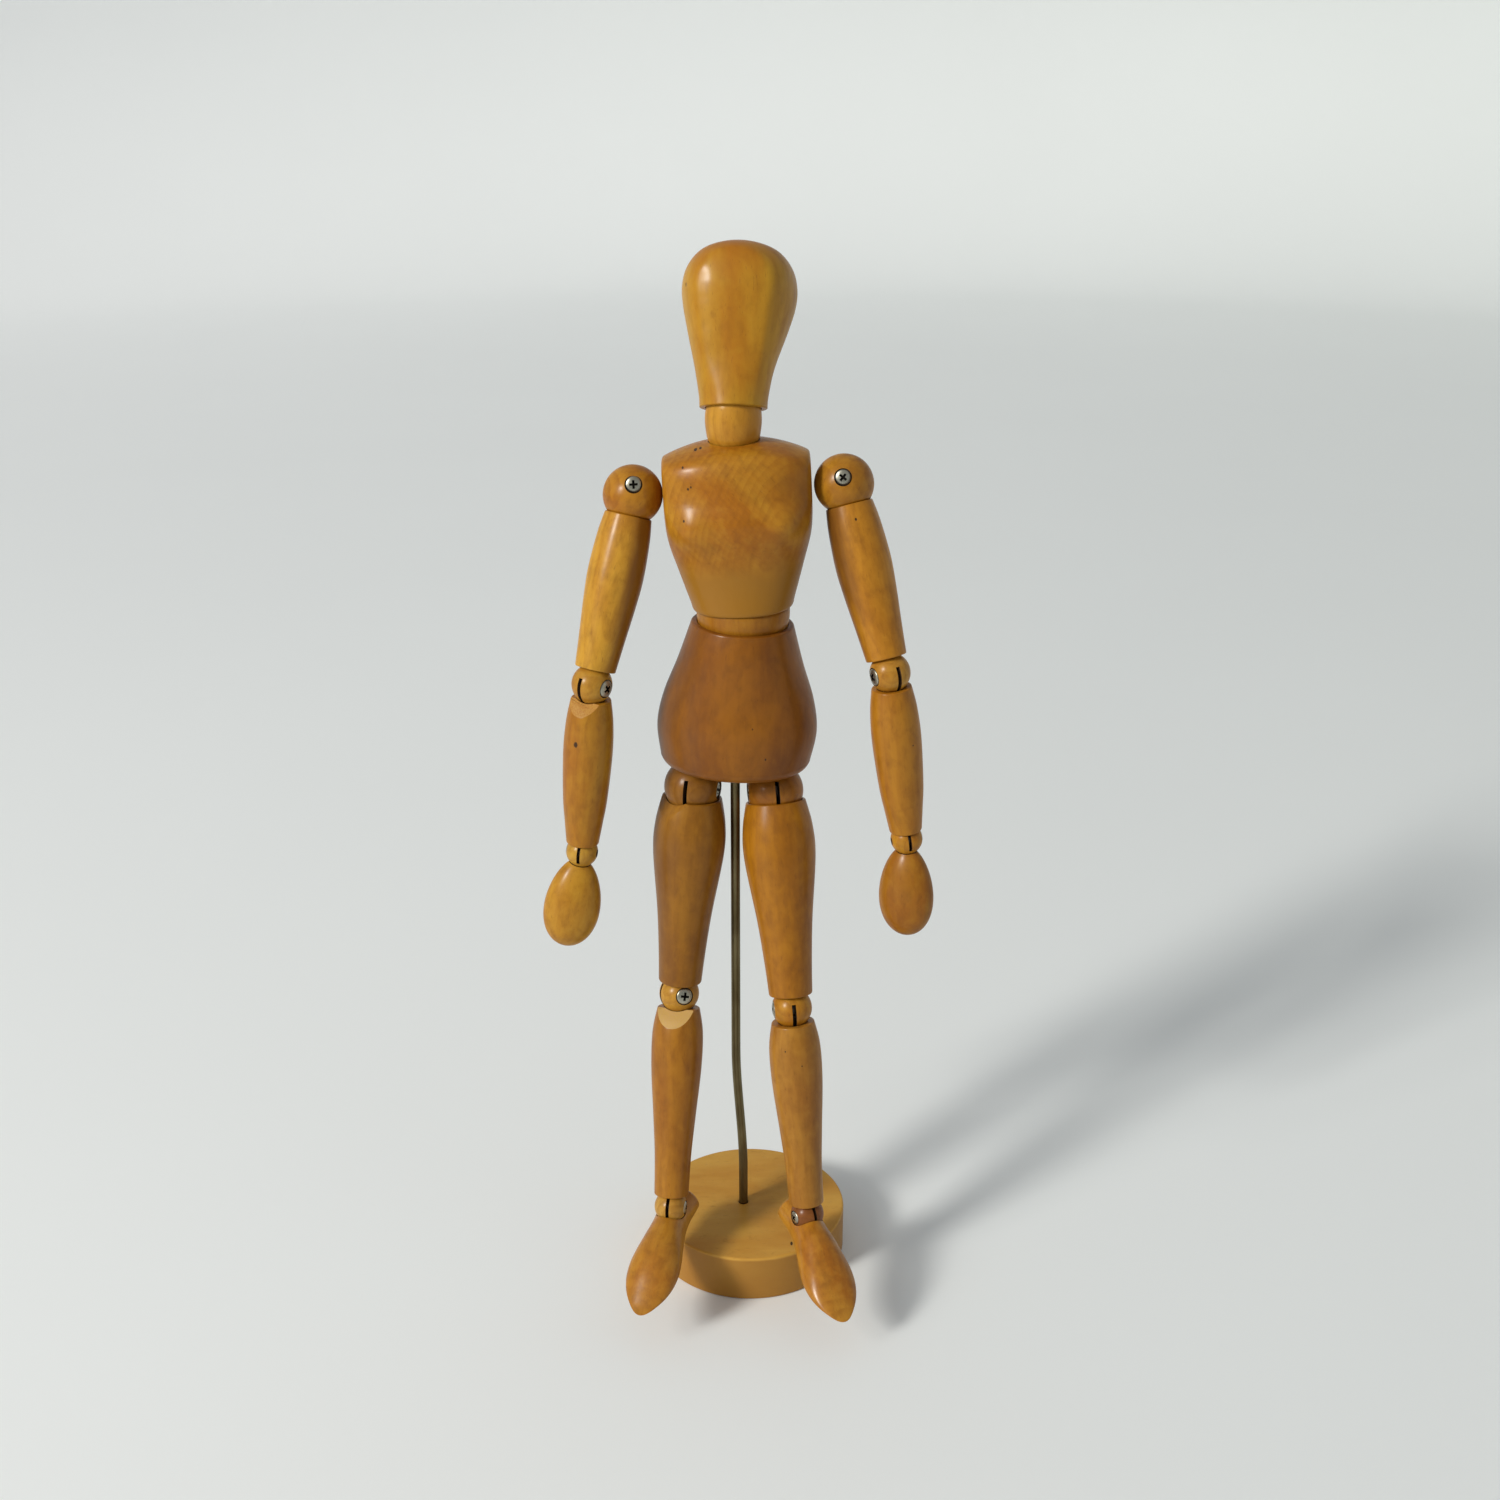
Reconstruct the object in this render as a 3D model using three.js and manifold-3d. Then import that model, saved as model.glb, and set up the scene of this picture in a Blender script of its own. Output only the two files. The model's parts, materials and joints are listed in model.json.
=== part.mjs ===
// A jointed wooden artist's figure on a round stand, the 13 inch size.
//
// Turned wooden limbs are cupped at both ends and ride on wooden joint balls. Each ball has a spigot
// that turns in one neighbour's bore, and a sawn slot that takes a flat steel tang, held by a cross
// screw: the tang's round shank turns in the other neighbour's bore. The head, neck, chest, waist and
// pelvis are seated on one another in spherical dishes and are drawn together by tension springs.
//
// Millimetres, +Z up, the figure faces -Y. "left" and "right" are the figure's own sides, so its
// right side is at -X. The origin is at the centre of the underside of the stand's base.
import * as THREE from "three";
import { mergeVertices } from "three/addons/utils/BufferGeometryUtils.js";
import Module from "manifold-3d";

const wasm = await Module();
wasm.setup();

// ---- driving dimensions -------------------------------------------------------------------------

const SEAT_GAP = 0.3; // between a ball and the cup or dish that it turns in
const TURN_GAP = 0.2; // between a pin, spigot or rod and its bore, on the radius

const BASE = { radius: 32.5, height: 16.3, edge: 1.4 };
const ROD = {
  radius: 1.5,
  footX: -2.3,
  topX: -4.7,
  sunk: 11, // how deep the foot goes into the base
  bendLow: 30, // the stretch where the rod has been bent sideways
  bendHigh: 78,
  inPelvis: 22,
};

// The trunk, bottom to top. A roll leans a piece's top towards +X.
const PELVIS = { bottom: 180.6, height: 47, roll: 3, rimRadius: 15.7 };
const WAIST = { radius: 14.3, seatRise: 3.4, band: 1.8, capRadius: 17 };
const CHEST = { bottom: 233.2, height: 50.8, roll: -3, topRadius: 50 };
const CHEST_FLATS = { left: 22.3, right: 21.8 }; // how far out its flat sides are planed
const NECK = { radius: 8.2, seatZ: 287.1, length: 5 };
const HEAD = { bottom: 293, lean: -18, roll: -4, turn: -16 };

// The springs run in these bores of the trunk's pieces.
const BORES = {
  pelvis: 5,
  waist: 6,
  chestLow: 7.2,
  chestTop: 4.2,
  chestAcross: 2.7,
  neck: 3.4,
  head: 5.4,
};

// Joint balls: radius, and the radii of the screw's head and of the spigot.
const BALLS = {
  shoulder: { radius: 9.0, head: 2.35, spigot: 2.2, spigotLength: 10 },
  elbow: { radius: 6.2, head: 2.6, spigot: 1.8, spigotLength: 8 },
  wrist: { radius: 5.0, head: 2.0, spigot: 1.5, spigotLength: 7 },
  hip: { radius: 9.1, head: 2.7, spigot: 2.2, spigotLength: 8.5 },
  knee: { radius: 6.5, head: 2.6, spigot: 1.8, spigotLength: 8 },
  ankle: { radius: 5.4, head: 2.0, spigot: 1.5, spigotLength: 2.4 },
};
const SHOULDER_AT = { left: 32, right: 31.1, up: 35.7 }; // in the chest's frame
const HIP_AT = { out: 13, down: 8.3 }; // in the pelvis's frame

// Limbs hang down -Z from the centre of the ball above them. An outline is radius against depth, and
// its first and last points are the rims. A scoop is bevelled off the top rim where the limb folds.
const LIMBS = {
  upperArm: {
    length: 58.1,
    outline: [[7.1, 6.2], [8.0, 13], [8.5, 24], [8.0, 33], [7.0, 44], [6.2, 53.5]],
  },
  forearm: {
    length: 55.6,
    outline: [[6.1, 4.6], [7.2, 12], [7.6, 22], [6.9, 37], [6.0, 45], [5.05, 52.5]],
    scoop: { depth: 4.2, inset: 3.2 },
  },
  thigh: {
    length: 71,
    outline: [[9.5, 3.4], [11.2, 12], [11.4, 22], [8.9, 42], [7.65, 56], [7.0, 66.4]],
    scoop: { depth: 4.5, inset: 6.4 },
  },
  shin: {
    length: 71.5,
    outline: [[6.9, 4.7], [8.3, 13], [8.25, 25], [7.0, 41], [6.05, 54], [5.65, 67.4]],
    scoop: { depth: 5, inset: 3.2 },
  },
};
const HAND = { length: 30, top: 2.4, halfWidth: 8.8, halfThickness: 6.2 };
const FOOT = { toe: 38.5, heel: 9.8 };

// How each limb hangs: degrees of lean towards +X (side) and towards -Y (front), and of turn about
// its own line (twist). A joint's number is its screw's bearing, and so the way that the joint folds.
const HANG = {
  right: {
    upperArm: { side: -13.1, front: 15, twist: 0 },
    elbow: 35,
    forearm: { side: -5, front: 0, twist: 30 },
    wrist: 10,
    hand: { side: -11, front: 4, twist: 5 },
    hip: 15,
    thigh: { side: -4.1, front: 5.7, twist: 53 },
    knee: 72,
    shin: { side: -2.5, front: 17.1, twist: 16 },
    ankle: 12,
    foot: { turn: 15.4, pitch: 14 },
  },
  left: {
    upperArm: { side: 14.6, front: 15, twist: 0 },
    elbow: -24,
    forearm: { side: 7.0, front: -1, twist: 180 },
    wrist: -10,
    hand: { side: 1.0, front: 4, twist: -25 },
    hip: -5,
    thigh: { side: 4.7, front: 14.7, twist: 180 },
    knee: -7,
    shin: { side: 4.4, front: 10, twist: 180 },
    ankle: -31,
    foot: { turn: -19.2, pitch: 14 },
  },
};

const SLOT = 1.3; // the width of a ball's saw slot
const TANG = { thickness: 1.0, shank: 1.1, screwHole: 1.35, shankLength: 9 };
const SCREW_RADIUS = 1.1;
const HEAD_SEAT = 0.8; // how far out the screw head's seat lies, as a share of the ball's radius
const SLOT_END = 0.52; // how far the slot runs past the ball's centre, as a share of its radius
const EYE = 0.44; // the tang's eye, as a share of the ball's radius
const WIRE = 0.45; // the springs' wire, as a radius
const CLEAR = 60; // the size of a cutter that has only to reach past the piece it cuts
const SIDES = { limb: 16, ball: 12, trunk: 22, small: 8, pin: 6 };

// ---- materials ----------------------------------------------------------------------------------

const wood = new THREE.MeshStandardMaterial({ color: 0xb8802f, roughness: 0.45, metalness: 0 });
const paleWood = new THREE.MeshStandardMaterial({ color: 0xc79a55, roughness: 0.6, metalness: 0 });
const rodSteel = new THREE.MeshStandardMaterial({ color: 0x6b6455, roughness: 0.5, metalness: 0.8 });
const brightSteel = new THREE.MeshStandardMaterial({ color: 0xb9b8b0, roughness: 0.3, metalness: 1 });

// ---- helpers ------------------------------------------------------------------------------------

const rad = THREE.MathUtils.degToRad;

function solidOf(geometry) {
  const bare = geometry.index ? geometry.toNonIndexed() : geometry.clone();
  bare.deleteAttribute("normal");
  bare.deleteAttribute("uv");
  const merged = mergeVertices(bare, 1e-4);
  return new wasm.Manifold(
    new wasm.Mesh({
      numProp: 3,
      vertProperties: merged.attributes.position.array,
      triVerts: new Uint32Array(merged.index.array),
    }),
  );
}

function geometryOf(solid) {
  const mesh = solid.getMesh();
  return new THREE.BufferGeometry()
    .setAttribute("position", new THREE.BufferAttribute(mesh.vertProperties, 3))
    .setIndex(new THREE.BufferAttribute(mesh.triVerts, 1));
}

function cut(geometry, ...tools) {
  return geometryOf(tools.reduce((left, tool) => left.subtract(solidOf(tool)), solidOf(geometry)));
}

function join(...geometries) {
  return geometryOf(geometries.map(solidOf).reduce((all, one) => all.add(one)));
}

// A turned shape about Z, from [radius, height] points that run upwards, closed on the axis.
function turned(profile, sides = SIDES.limb) {
  const points = profile.map(([r, z]) => new THREE.Vector2(Math.max(r, 0), z));
  const closed = [new THREE.Vector2(0, points[0].y), ...points, new THREE.Vector2(0, points.at(-1).y)];
  return new THREE.LatheGeometry(closed, sides).rotateX(Math.PI / 2);
}

// A straight pin or bore about Z from one height to another.
function pin(radius, low, high, sides = SIDES.small) {
  return new THREE.CylinderGeometry(radius, radius, high - low, sides)
    .rotateX(Math.PI / 2)
    .translate(0, 0, (low + high) / 2);
}

function ball(radius, sides = SIDES.ball) {
  return new THREE.SphereGeometry(radius, sides, Math.round(sides * 0.6)).rotateX(Math.PI / 2);
}

// A ball-shaped cutter whose facets all stand clear of a ball of the given radius turning inside it.
function socket(radius, sides = 14) {
  const rings = Math.round(sides * 0.6);
  const reach = radius / (Math.cos(Math.PI / sides) * Math.cos(Math.PI / (2 * rings)));
  return ball(reach, sides);
}

function smooth(points, steps) {
  return new THREE.SplineCurve(points.map(([x, y]) => new THREE.Vector2(x, y))).getPoints(steps);
}

// A value read off the straight lines between [place, value] points.
function along(points, place) {
  const last = points.length - 1;
  const at = points.findIndex(([p], i) => i === last || place < points[i + 1][0]);
  const i = Math.min(Math.max(at, 0), last - 1);
  const [[a, from], [b, to]] = [points[i], points[i + 1]];
  const t = THREE.MathUtils.clamp((place - a) / (b - a), 0, 1);
  return THREE.MathUtils.lerp(from, to, t);
}

// Moves every vertex of a geometry by a function of its place.
function reshape(geometry, move) {
  const at = geometry.attributes.position;
  const v = new THREE.Vector3();
  for (let i = 0; i < at.count; i++) {
    v.fromBufferAttribute(at, i);
    move(v);
    at.setXYZ(i, v.x, v.y, v.z);
  }
  return geometry;
}

const root = new THREE.Group();

function add(name, geometry, material, parent) {
  const mesh = new THREE.Mesh(geometry, material);
  mesh.name = name;
  parent.add(mesh);
  return mesh;
}

function frame(parent, position, quaternion) {
  const group = new THREE.Group();
  group.position.copy(position);
  if (quaternion) group.quaternion.copy(quaternion);
  parent.add(group);
  return group;
}

function about(axis, degrees) {
  return new THREE.Quaternion().setFromAxisAngle(new THREE.Vector3(...axis), rad(degrees));
}

const spin = (degrees) => about([0, 0, 1], degrees);
const tilt = (roll) => about([0, 1, 0], roll);

// The turn that makes a limb's -Z hang in a direction, with its front twisted about that line.
function hang({ side, front, twist }) {
  const down = new THREE.Vector3(Math.tan(rad(side)), -Math.tan(rad(front)), -1).normalize();
  const lean = new THREE.Quaternion().setFromUnitVectors(new THREE.Vector3(0, 0, -1), down);
  return lean.multiply(spin(-twist));
}

// ---- the stand ----------------------------------------------------------------------------------

function rodPath() {
  const top = PELVIS.bottom + ROD.inPelvis;
  const low = BASE.height - ROD.sunk + SEAT_GAP;
  const { lerp, smoothstep } = THREE.MathUtils;
  const { footX, topX, bendLow, bendHigh } = ROD;
  const steps = [0, 1, 2, 3, 4, 5, 6].map((i) => lerp(bendLow, bendHigh, i / 6));
  const lean = (z) => lerp(footX, topX, smoothstep(z, bendLow, bendHigh));
  return [low, ...steps, top].map((z) => new THREE.Vector3(lean(z), 0, z));
}

function makeStand() {
  const { radius, height, edge } = BASE;
  const wall = [[radius - 0.6, 0], [radius, 0.8], [radius, height - edge]];
  const sanded = [[radius - edge * 0.4, height - edge * 0.3], [radius - edge, height]];
  const block = turned([...wall, ...sanded], 36);
  const hole = pin(ROD.radius + TURN_GAP, height - ROD.sunk, height + 1, 12).translate(ROD.footX, 0, 0);
  add("base", cut(block, hole), paleWood, root);

  const points = rodPath();
  const section = new THREE.Shape().absarc(0, 0, ROD.radius, 0, 2 * Math.PI);
  const line = new THREE.CurvePath();
  points.slice(1).forEach((p, i) => line.add(new THREE.LineCurve3(points[i], p)));
  const rod = new THREE.ExtrudeGeometry(section, { steps: 16, curveSegments: 3, extrudePath: line });
  add("stand_rod", rod, rodSteel, root);
}

// ---- the trunk ----------------------------------------------------------------------------------

const up = (height, roll) => new THREE.Vector3(0, 0, height).applyQuaternion(tilt(roll));

const pelvisAt = new THREE.Vector3(ROD.topX, 0, PELVIS.bottom);
const waistSeat = pelvisAt.clone().add(up(PELVIS.height + WAIST.seatRise, PELVIS.roll));
const capDrop = Math.sqrt(WAIST.capRadius ** 2 - WAIST.radius ** 2);
const capCentre = waistSeat.clone().add(new THREE.Vector3(0, 0, WAIST.band - capDrop));
const chestAt = new THREE.Vector3(waistSeat.x, 0, CHEST.bottom);
const chestLean = (NECK.seatZ - CHEST.bottom) * Math.tan(rad(CHEST.roll));
const neckAt = new THREE.Vector3(chestAt.x + chestLean, 0, NECK.seatZ);
const headSeat = neckAt.clone().add(new THREE.Vector3(0, 0, NECK.length));

// A point of the world in a group's own frame.
const inside = (group, point) => group.worldToLocal(point.clone());

function makePelvis() {
  const group = frame(root, pelvisAt, tilt(PELVIS.roll));
  group.updateWorldMatrix(true, false);
  const rim = [PELVIS.rimRadius, PELVIS.height];
  const flank = smooth([[23.5, 3], [25, 13], [23.4, 23], [19.4, 34.6], rim], 8);
  const outline = [[19.5, 0], [22.4, 1.1], ...flank.map((p) => [p.x, p.y])];
  const body = reshape(turned(outline, SIDES.trunk), (v) => {
    const hips = THREE.MathUtils.smoothstep(PELVIS.height - v.z, 0, 26);
    v.y *= 1 - 0.22 * hips; // round at the rim, flattened front to back at the hips
  });
  const dish = socket(WAIST.radius + SEAT_GAP / 2, 20).translate(0, 0, PELVIS.height + WAIST.seatRise);
  const springBore = pin(BORES.pelvis, PELVIS.height - 14, PELVIS.height, 12);
  const rodBore = pin(ROD.radius + TURN_GAP, -3, ROD.inPelvis + SEAT_GAP, 12)
    .applyQuaternion(tilt(-PELVIS.roll));
  const hips = [-1, 1].flatMap((side) => {
    const { radius, spigot, spigotLength } = BALLS.hip;
    return [
      socket(radius + SEAT_GAP / 2).translate(side * HIP_AT.out, 0, -HIP_AT.down),
      pin(spigot + TURN_GAP, -1, radius - HIP_AT.down + spigotLength + SEAT_GAP, 10)
        .translate(side * HIP_AT.out, 0, 0),
    ];
  });
  add("pelvis", cut(body, dish, springBore, rodBore, ...hips), wood, group);
  return group;
}

function makeWaist() {
  const group = frame(root, waistSeat);
  const { radius, band, capRadius } = WAIST;
  const bowl = (a) => [radius * Math.cos(rad(a)), radius * Math.sin(rad(a))];
  const lower = [-75, -60, -45, -30, -15].map(bowl);
  const edge = Math.asin(radius / capRadius);
  const cap = [1, 0.75, 0.5, 0.25].map((share) => [
    capRadius * Math.sin(edge * share),
    band - capDrop + capRadius * Math.cos(edge * share),
  ]);
  const body = turned([...lower, [radius, 0], ...cap], SIDES.trunk);
  add("waist", cut(body, pin(BORES.waist, -16, 16, 12)), wood, group);
}

// The chest's half width, and its depth in front and behind, against height above its lower rim.
const CHEST_WIDTH = [
  [0, 15.4], [8, 17.6], [14, 19.4], [20, 21.2], [26, 22.9], [33, 24], [46, 24], [50.8, 22],
];
const CHEST_FRONT = [
  [0, 15.2], [9, 15.2], [17, 16.4], [24, 18], [28, 18], [36, 16.4], [44, 14], [50.8, 9.5],
];
const CHEST_BACK = [[0, 15.2], [10, 15.4], [24, 16], [38, 15.6], [46, 13.6], [50.8, 10]];
const BREAST = { out: 11.5, up: 26, rise: 2.2, spread: 6.4 };

function chestSection(v) {
  const z = v.z;
  const angle = Math.atan2(v.y, v.x);
  const reach = Math.hypot(v.x, v.y); // 1 on the wall, less on the caps
  const depth = v.y < 0 ? along(CHEST_FRONT, z) : along(CHEST_BACK, z);
  v.x = reach * along(CHEST_WIDTH, z) * Math.cos(angle);
  v.y = reach * depth * Math.sin(angle);
  if (v.y < 0) {
    const swell = [-1, 1].reduce((sum, side) => {
      const away = Math.hypot(v.x - side * BREAST.out, (z - BREAST.up) * 0.9) / BREAST.spread;
      return sum + Math.exp(-away * away);
    }, 0);
    v.y -= BREAST.rise * swell * reach;
  }
}

function makeChest() {
  const group = frame(root, chestAt, tilt(CHEST.roll));
  group.updateWorldMatrix(true, false);
  const drum = new THREE.CylinderGeometry(1, 1, CHEST.height, SIDES.trunk, 12)
    .rotateX(Math.PI / 2)
    .translate(0, 0, CHEST.height / 2);
  const blank = reshape(drum, chestSection);
  const neckSeat = inside(group, neckAt);
  const cap = inside(group, capCentre);
  const dome = ball(CHEST.topRadius, 28).translate(0, 0, CHEST.height + 0.6 - CHEST.topRadius);
  const plane = (x) => new THREE.BoxGeometry(CLEAR, CLEAR, CLEAR).translate(x, 0, CHEST.height);
  const crossBore = pin(BORES.chestAcross, -CLEAR, CLEAR, 12)
    .rotateY(Math.PI / 2)
    .translate(0, 0, SHOULDER_AT.up);
  const tools = [
    socket(WAIST.capRadius + SEAT_GAP / 2, 20).translate(cap.x, cap.y, cap.z),
    socket(NECK.radius + SEAT_GAP / 2).translate(neckSeat.x, neckSeat.y, neckSeat.z),
    pin(BORES.chestLow, 0, 14, 12),
    pin(BORES.chestTop, 44, CLEAR, 12),
    crossBore,
    plane(CHEST_FLATS.left + CLEAR / 2),
    plane(-CHEST_FLATS.right - CLEAR / 2),
  ];
  const rounded = geometryOf(solidOf(blank).intersect(solidOf(dome)));
  add("chest", cut(rounded, ...tools), wood, group);
  return group;
}

function makeNeck() {
  const group = frame(root, neckAt);
  const { radius, length } = NECK;
  const arc = (from, to, rise) => [0, 0.25, 0.5, 0.75, 1].map((t) => {
    const a = rad(THREE.MathUtils.lerp(from, to, t));
    return [radius * Math.cos(a), rise + radius * Math.sin(a)];
  });
  const body = turned([...arc(-72, 0, 0), ...arc(0, 60, length)], SIDES.ball);
  add("neck", cut(body, pin(BORES.neck, -12, 20, 12)), wood, group);
}

// The head's half width against height above its rim.
const HEAD_HALF_WIDTH = [
  [10, 0], [10.4, 4], [12.2, 13], [14.7, 22], [16.4, 30], [16.7, 35.5], [15.1, 41], [11.3, 45.6],
  [5, 48.2],
];

function makeHead() {
  const facing = new THREE.Euler(rad(HEAD.lean), rad(HEAD.roll), rad(HEAD.turn), "ZYX");
  const group = frame(root, headSeat, new THREE.Quaternion().setFromEuler(facing));
  const rim = HEAD.bottom - headSeat.z; // how far the rim stands above the neck's upper ball centre
  const outline = smooth(HEAD_HALF_WIDTH, 10).map((p) => [p.x, p.y + rim]);
  const egg = reshape(turned(outline, SIDES.trunk), (v) => {
    const crown = THREE.MathUtils.smoothstep(v.z, 8, 34);
    v.y *= 1 + 0.14 * crown; // the skull is deeper than it is wide
    v.y += 4 * crown; // and it overhangs the neck at the back
  });
  const tools = [
    socket(NECK.radius + SEAT_GAP / 2),
    pin(NECK.radius + SEAT_GAP, -3, 0.4, SIDES.ball),
    pin(BORES.head, 0, 9, 12),
  ];
  add("head", cut(egg, ...tools), wood, group);
  return group;
}

class Helix extends THREE.Curve {
  constructor(radius, turns, low, high) {
    super();
    Object.assign(this, { radius, turns, low, high });
  }
  getPoint(t, target = new THREE.Vector3()) {
    const a = 2 * Math.PI * this.turns * t;
    return target.set(
      this.radius * Math.cos(a),
      this.radius * Math.sin(a),
      THREE.MathUtils.lerp(this.low, this.high, t),
    );
  }
}

// A tension spring about Z; its end coils are wound into the wood.
function spring(radius, turns, low, high) {
  const section = new THREE.Shape(
    [0, 1, 2, 3].map((i) => {
      const a = (Math.PI * i) / 2;
      return new THREE.Vector2(WIRE * Math.cos(a), WIRE * Math.sin(a));
    }),
  );
  return new THREE.ExtrudeGeometry(section, {
    steps: turns * 7,
    extrudePath: new Helix(radius, turns, low, high),
  });
}

function makeSprings() {
  const waist = frame(root, waistSeat);
  add("waist_spring", spring(3.2, 8, -14, 11), brightSteel, waist);
  const neck = frame(root, neckAt);
  add("neck_spring", spring(2.2, 6, -5.5, 9.5), brightSteel, neck);
  const chest = frame(root, chestAt, tilt(CHEST.roll));
  const across = spring(1.9, 8, -10, 10).rotateY(Math.PI / 2).translate(0, 0, SHOULDER_AT.up);
  add("shoulder_spring", across, brightSteel, chest);
}

// ---- joint balls, screws and tangs ----------------------------------------------------------------
// In a joint's own frame the origin is the ball's centre, the screw lies along X and the spigot
// points up +Z. The tang hangs down -Z out of the slot.

function makeBall(size, spigotLean) {
  const { radius, head, spigot, spigotLength } = size;
  const peg = pin(spigot, 0, radius + spigotLength, SIDES.small).rotateY(spigotLean);
  const body = join(ball(radius), peg);
  const slot = new THREE.BoxGeometry(SLOT, 4 * radius, 2 * radius)
    .translate(0, 0, radius * SLOT_END - radius);
  const hole = pin(SCREW_RADIUS + 0.15, -radius * 2, radius * 2, SIDES.pin).rotateY(Math.PI / 2);
  const seat = pin(head + 0.25, radius * HEAD_SEAT, radius * 2, 12).rotateY(Math.PI / 2);
  return cut(body, slot, hole, seat);
}

// A round-headed screw with a cross recess, its head towards +X.
function makeScrew(size) {
  const { radius, head } = size;
  const seat = radius * HEAD_SEAT + 0.15;
  const rise = head * 0.4;
  const crown = [[head, 0], [head * 0.96, rise * 0.4], [head * 0.72, rise * 0.8], [head * 0.35, rise]];
  const dome = turned(crown, 12).translate(0, 0, seat);
  const shank = pin(SCREW_RADIUS, -radius * HEAD_SEAT, seat + 0.4, SIDES.pin);
  const bar = () => new THREE.BoxGeometry(head * 1.15, head * 0.24, head * 0.5)
    .translate(0, 0, seat + rise);
  return cut(join(dome, shank), bar(), bar().rotateZ(Math.PI / 2)).rotateY(Math.PI / 2);
}

// A flat steel eye on the screw, drawn out into a round shank that turns in the limb's bore.
function makeTang(size) {
  const { radius } = size;
  const { thickness, shank, screwHole, shankLength } = TANG;
  const bladeLength = radius + 0.5;
  const eye = pin(radius * EYE, -thickness / 2, thickness / 2, 14).rotateY(Math.PI / 2);
  const blade = new THREE.BoxGeometry(thickness, shank * 2, bladeLength)
    .translate(0, 0, -bladeLength / 2);
  const round = pin(shank, -(radius + shankLength), -(radius + 0.3), SIDES.pin);
  const hole = pin(screwHole, -thickness, thickness, SIDES.pin).rotateY(Math.PI / 2);
  return cut(join(eye, blade, round), hole);
}

// ---- limbs --------------------------------------------------------------------------------------

function boreFor(size, spigotSide) {
  const { radius, spigot, spigotLength } = size;
  return spigotSide
    ? { radius: spigot + TURN_GAP, depth: radius + spigotLength + SEAT_GAP }
    : { radius: TANG.shank + TURN_GAP, depth: radius + TANG.shankLength + SEAT_GAP };
}

// A turned limb, cupped for the balls at both ends and bored for what turns in it.
function makeLimb(limb, above, below, spigots) {
  const { length, outline, scoop } = limb;
  const line = smooth(outline, 7).map((p) => [p.x, -p.y]).reverse();
  const body = turned(line);
  const top = boreFor(above, spigots.above);
  const bottom = boreFor(below, spigots.below);
  const tools = [
    socket(above.radius + SEAT_GAP / 2),
    socket(below.radius + SEAT_GAP / 2).translate(0, 0, -length),
    pin(top.radius, -top.depth, 0, SIDES.small),
    pin(bottom.radius, -length, bottom.depth - length, SIDES.small),
  ];
  if (scoop) {
    const [rimRadius, rimDepth] = outline[0];
    tools.push(
      new THREE.BoxGeometry(CLEAR, CLEAR, CLEAR)
        .translate(0, 0, CLEAR / 2)
        .rotateX(Math.atan2(scoop.depth, rimRadius - scoop.inset))
        .translate(0, -scoop.inset, -rimDepth),
    );
  }
  return cut(body, ...tools);
}

function makeHand() {
  const { length, top, halfWidth, halfThickness } = HAND;
  const egg = reshape(new THREE.SphereGeometry(1, 14, 9).rotateX(Math.PI / 2), (v) => {
    const full = 1 - 0.16 * v.z; // fuller towards the finger end
    v.x *= halfWidth * full;
    v.y *= halfThickness * full;
    v.z = (v.z * length) / 2 - length / 2 - top;
  });
  const size = BALLS.wrist;
  const bore = boreFor(size, true);
  return cut(egg, socket(size.radius + SEAT_GAP / 2), pin(bore.radius, -bore.depth, 0));
}

// The foot's lines against distance in front of the ankle: half width, top and underside.
const FOOT_WIDTH = [
  [-9.8, 6.4], [-8.5, 6.8], [-5, 6.3], [-1, 5.8], [4, 5.8], [10, 6.8], [18, 8.1], [24, 8.3],
  [31, 6.8], [36, 4.9], [38.5, 2.6],
];
const FOOT_TOP = [
  [-9.8, -0.8], [-7, -0.9], [0, -1.8], [6, -1.6], [12, -0.9], [20, -1.1], [28, -2.6], [36, -4.9],
  [38.5, -6],
];
const FOOT_SOLE = [[-9.8, -8.4], [-7, -9.2], [0, -9.4], [28, -9.4], [36, -9], [38.5, -8.2]];
const FOOT_SQUARE = 1.25; // above 1, squares the foot's section up towards a soft-cornered box

function makeFoot() {
  const { toe, heel } = FOOT;
  const soften = (value) => Math.sign(value) * Math.abs(value) ** (1 / FOOT_SQUARE);
  const last = reshape(new THREE.SphereGeometry(1, 14, 14), (v) => {
    // the sphere's poles, at +Y and -Y, become the middles of the heel and of the toe
    const forward = THREE.MathUtils.mapLinear(v.y, 1, -1, -heel, toe);
    const around = Math.atan2(v.z, v.x);
    const [high, low] = [along(FOOT_TOP, forward), along(FOOT_SOLE, forward)];
    const pole = Math.abs(v.y) > 1 - 1e-6;
    v.x = pole ? 0 : along(FOOT_WIDTH, forward) * soften(Math.cos(around));
    v.z = (high + low) / 2 + (pole ? 0 : ((high - low) / 2) * soften(Math.sin(around)));
    v.y = -forward;
  });
  const size = BALLS.ankle;
  const bore = boreFor(size, true);
  return cut(last, socket(size.radius + SEAT_GAP / 2), pin(bore.radius, -bore.depth, 0));
}

// ---- assembly -----------------------------------------------------------------------------------

// Adds a ball with its screw and its tang. The screw is square to the tang; a ball's spigot may be
// drilled a few degrees off square to it.
function addJoint(side, name, at, spigotWay, tangWay, wantedScrew) {
  const size = BALLS[name];
  const out = tangWay.clone().normalize();
  const screw = wantedScrew.clone().addScaledVector(out, -wantedScrew.dot(out)).normalize();
  const spigotLean = Math.asin(spigotWay.clone().normalize().dot(screw));
  const ballFrame = frame(root, at, aim(screw, spigotWay));
  add(`${side}_${name}_ball`, makeBall(size, spigotLean), wood, ballFrame);
  add(`${side}_${name}_screw`, makeScrew(size), brightSteel, ballFrame);
  const tangFrame = frame(root, at, aim(screw, out.negate()));
  add(`${side}_${name}_tang`, makeTang(size), brightSteel, tangFrame);
}

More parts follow.
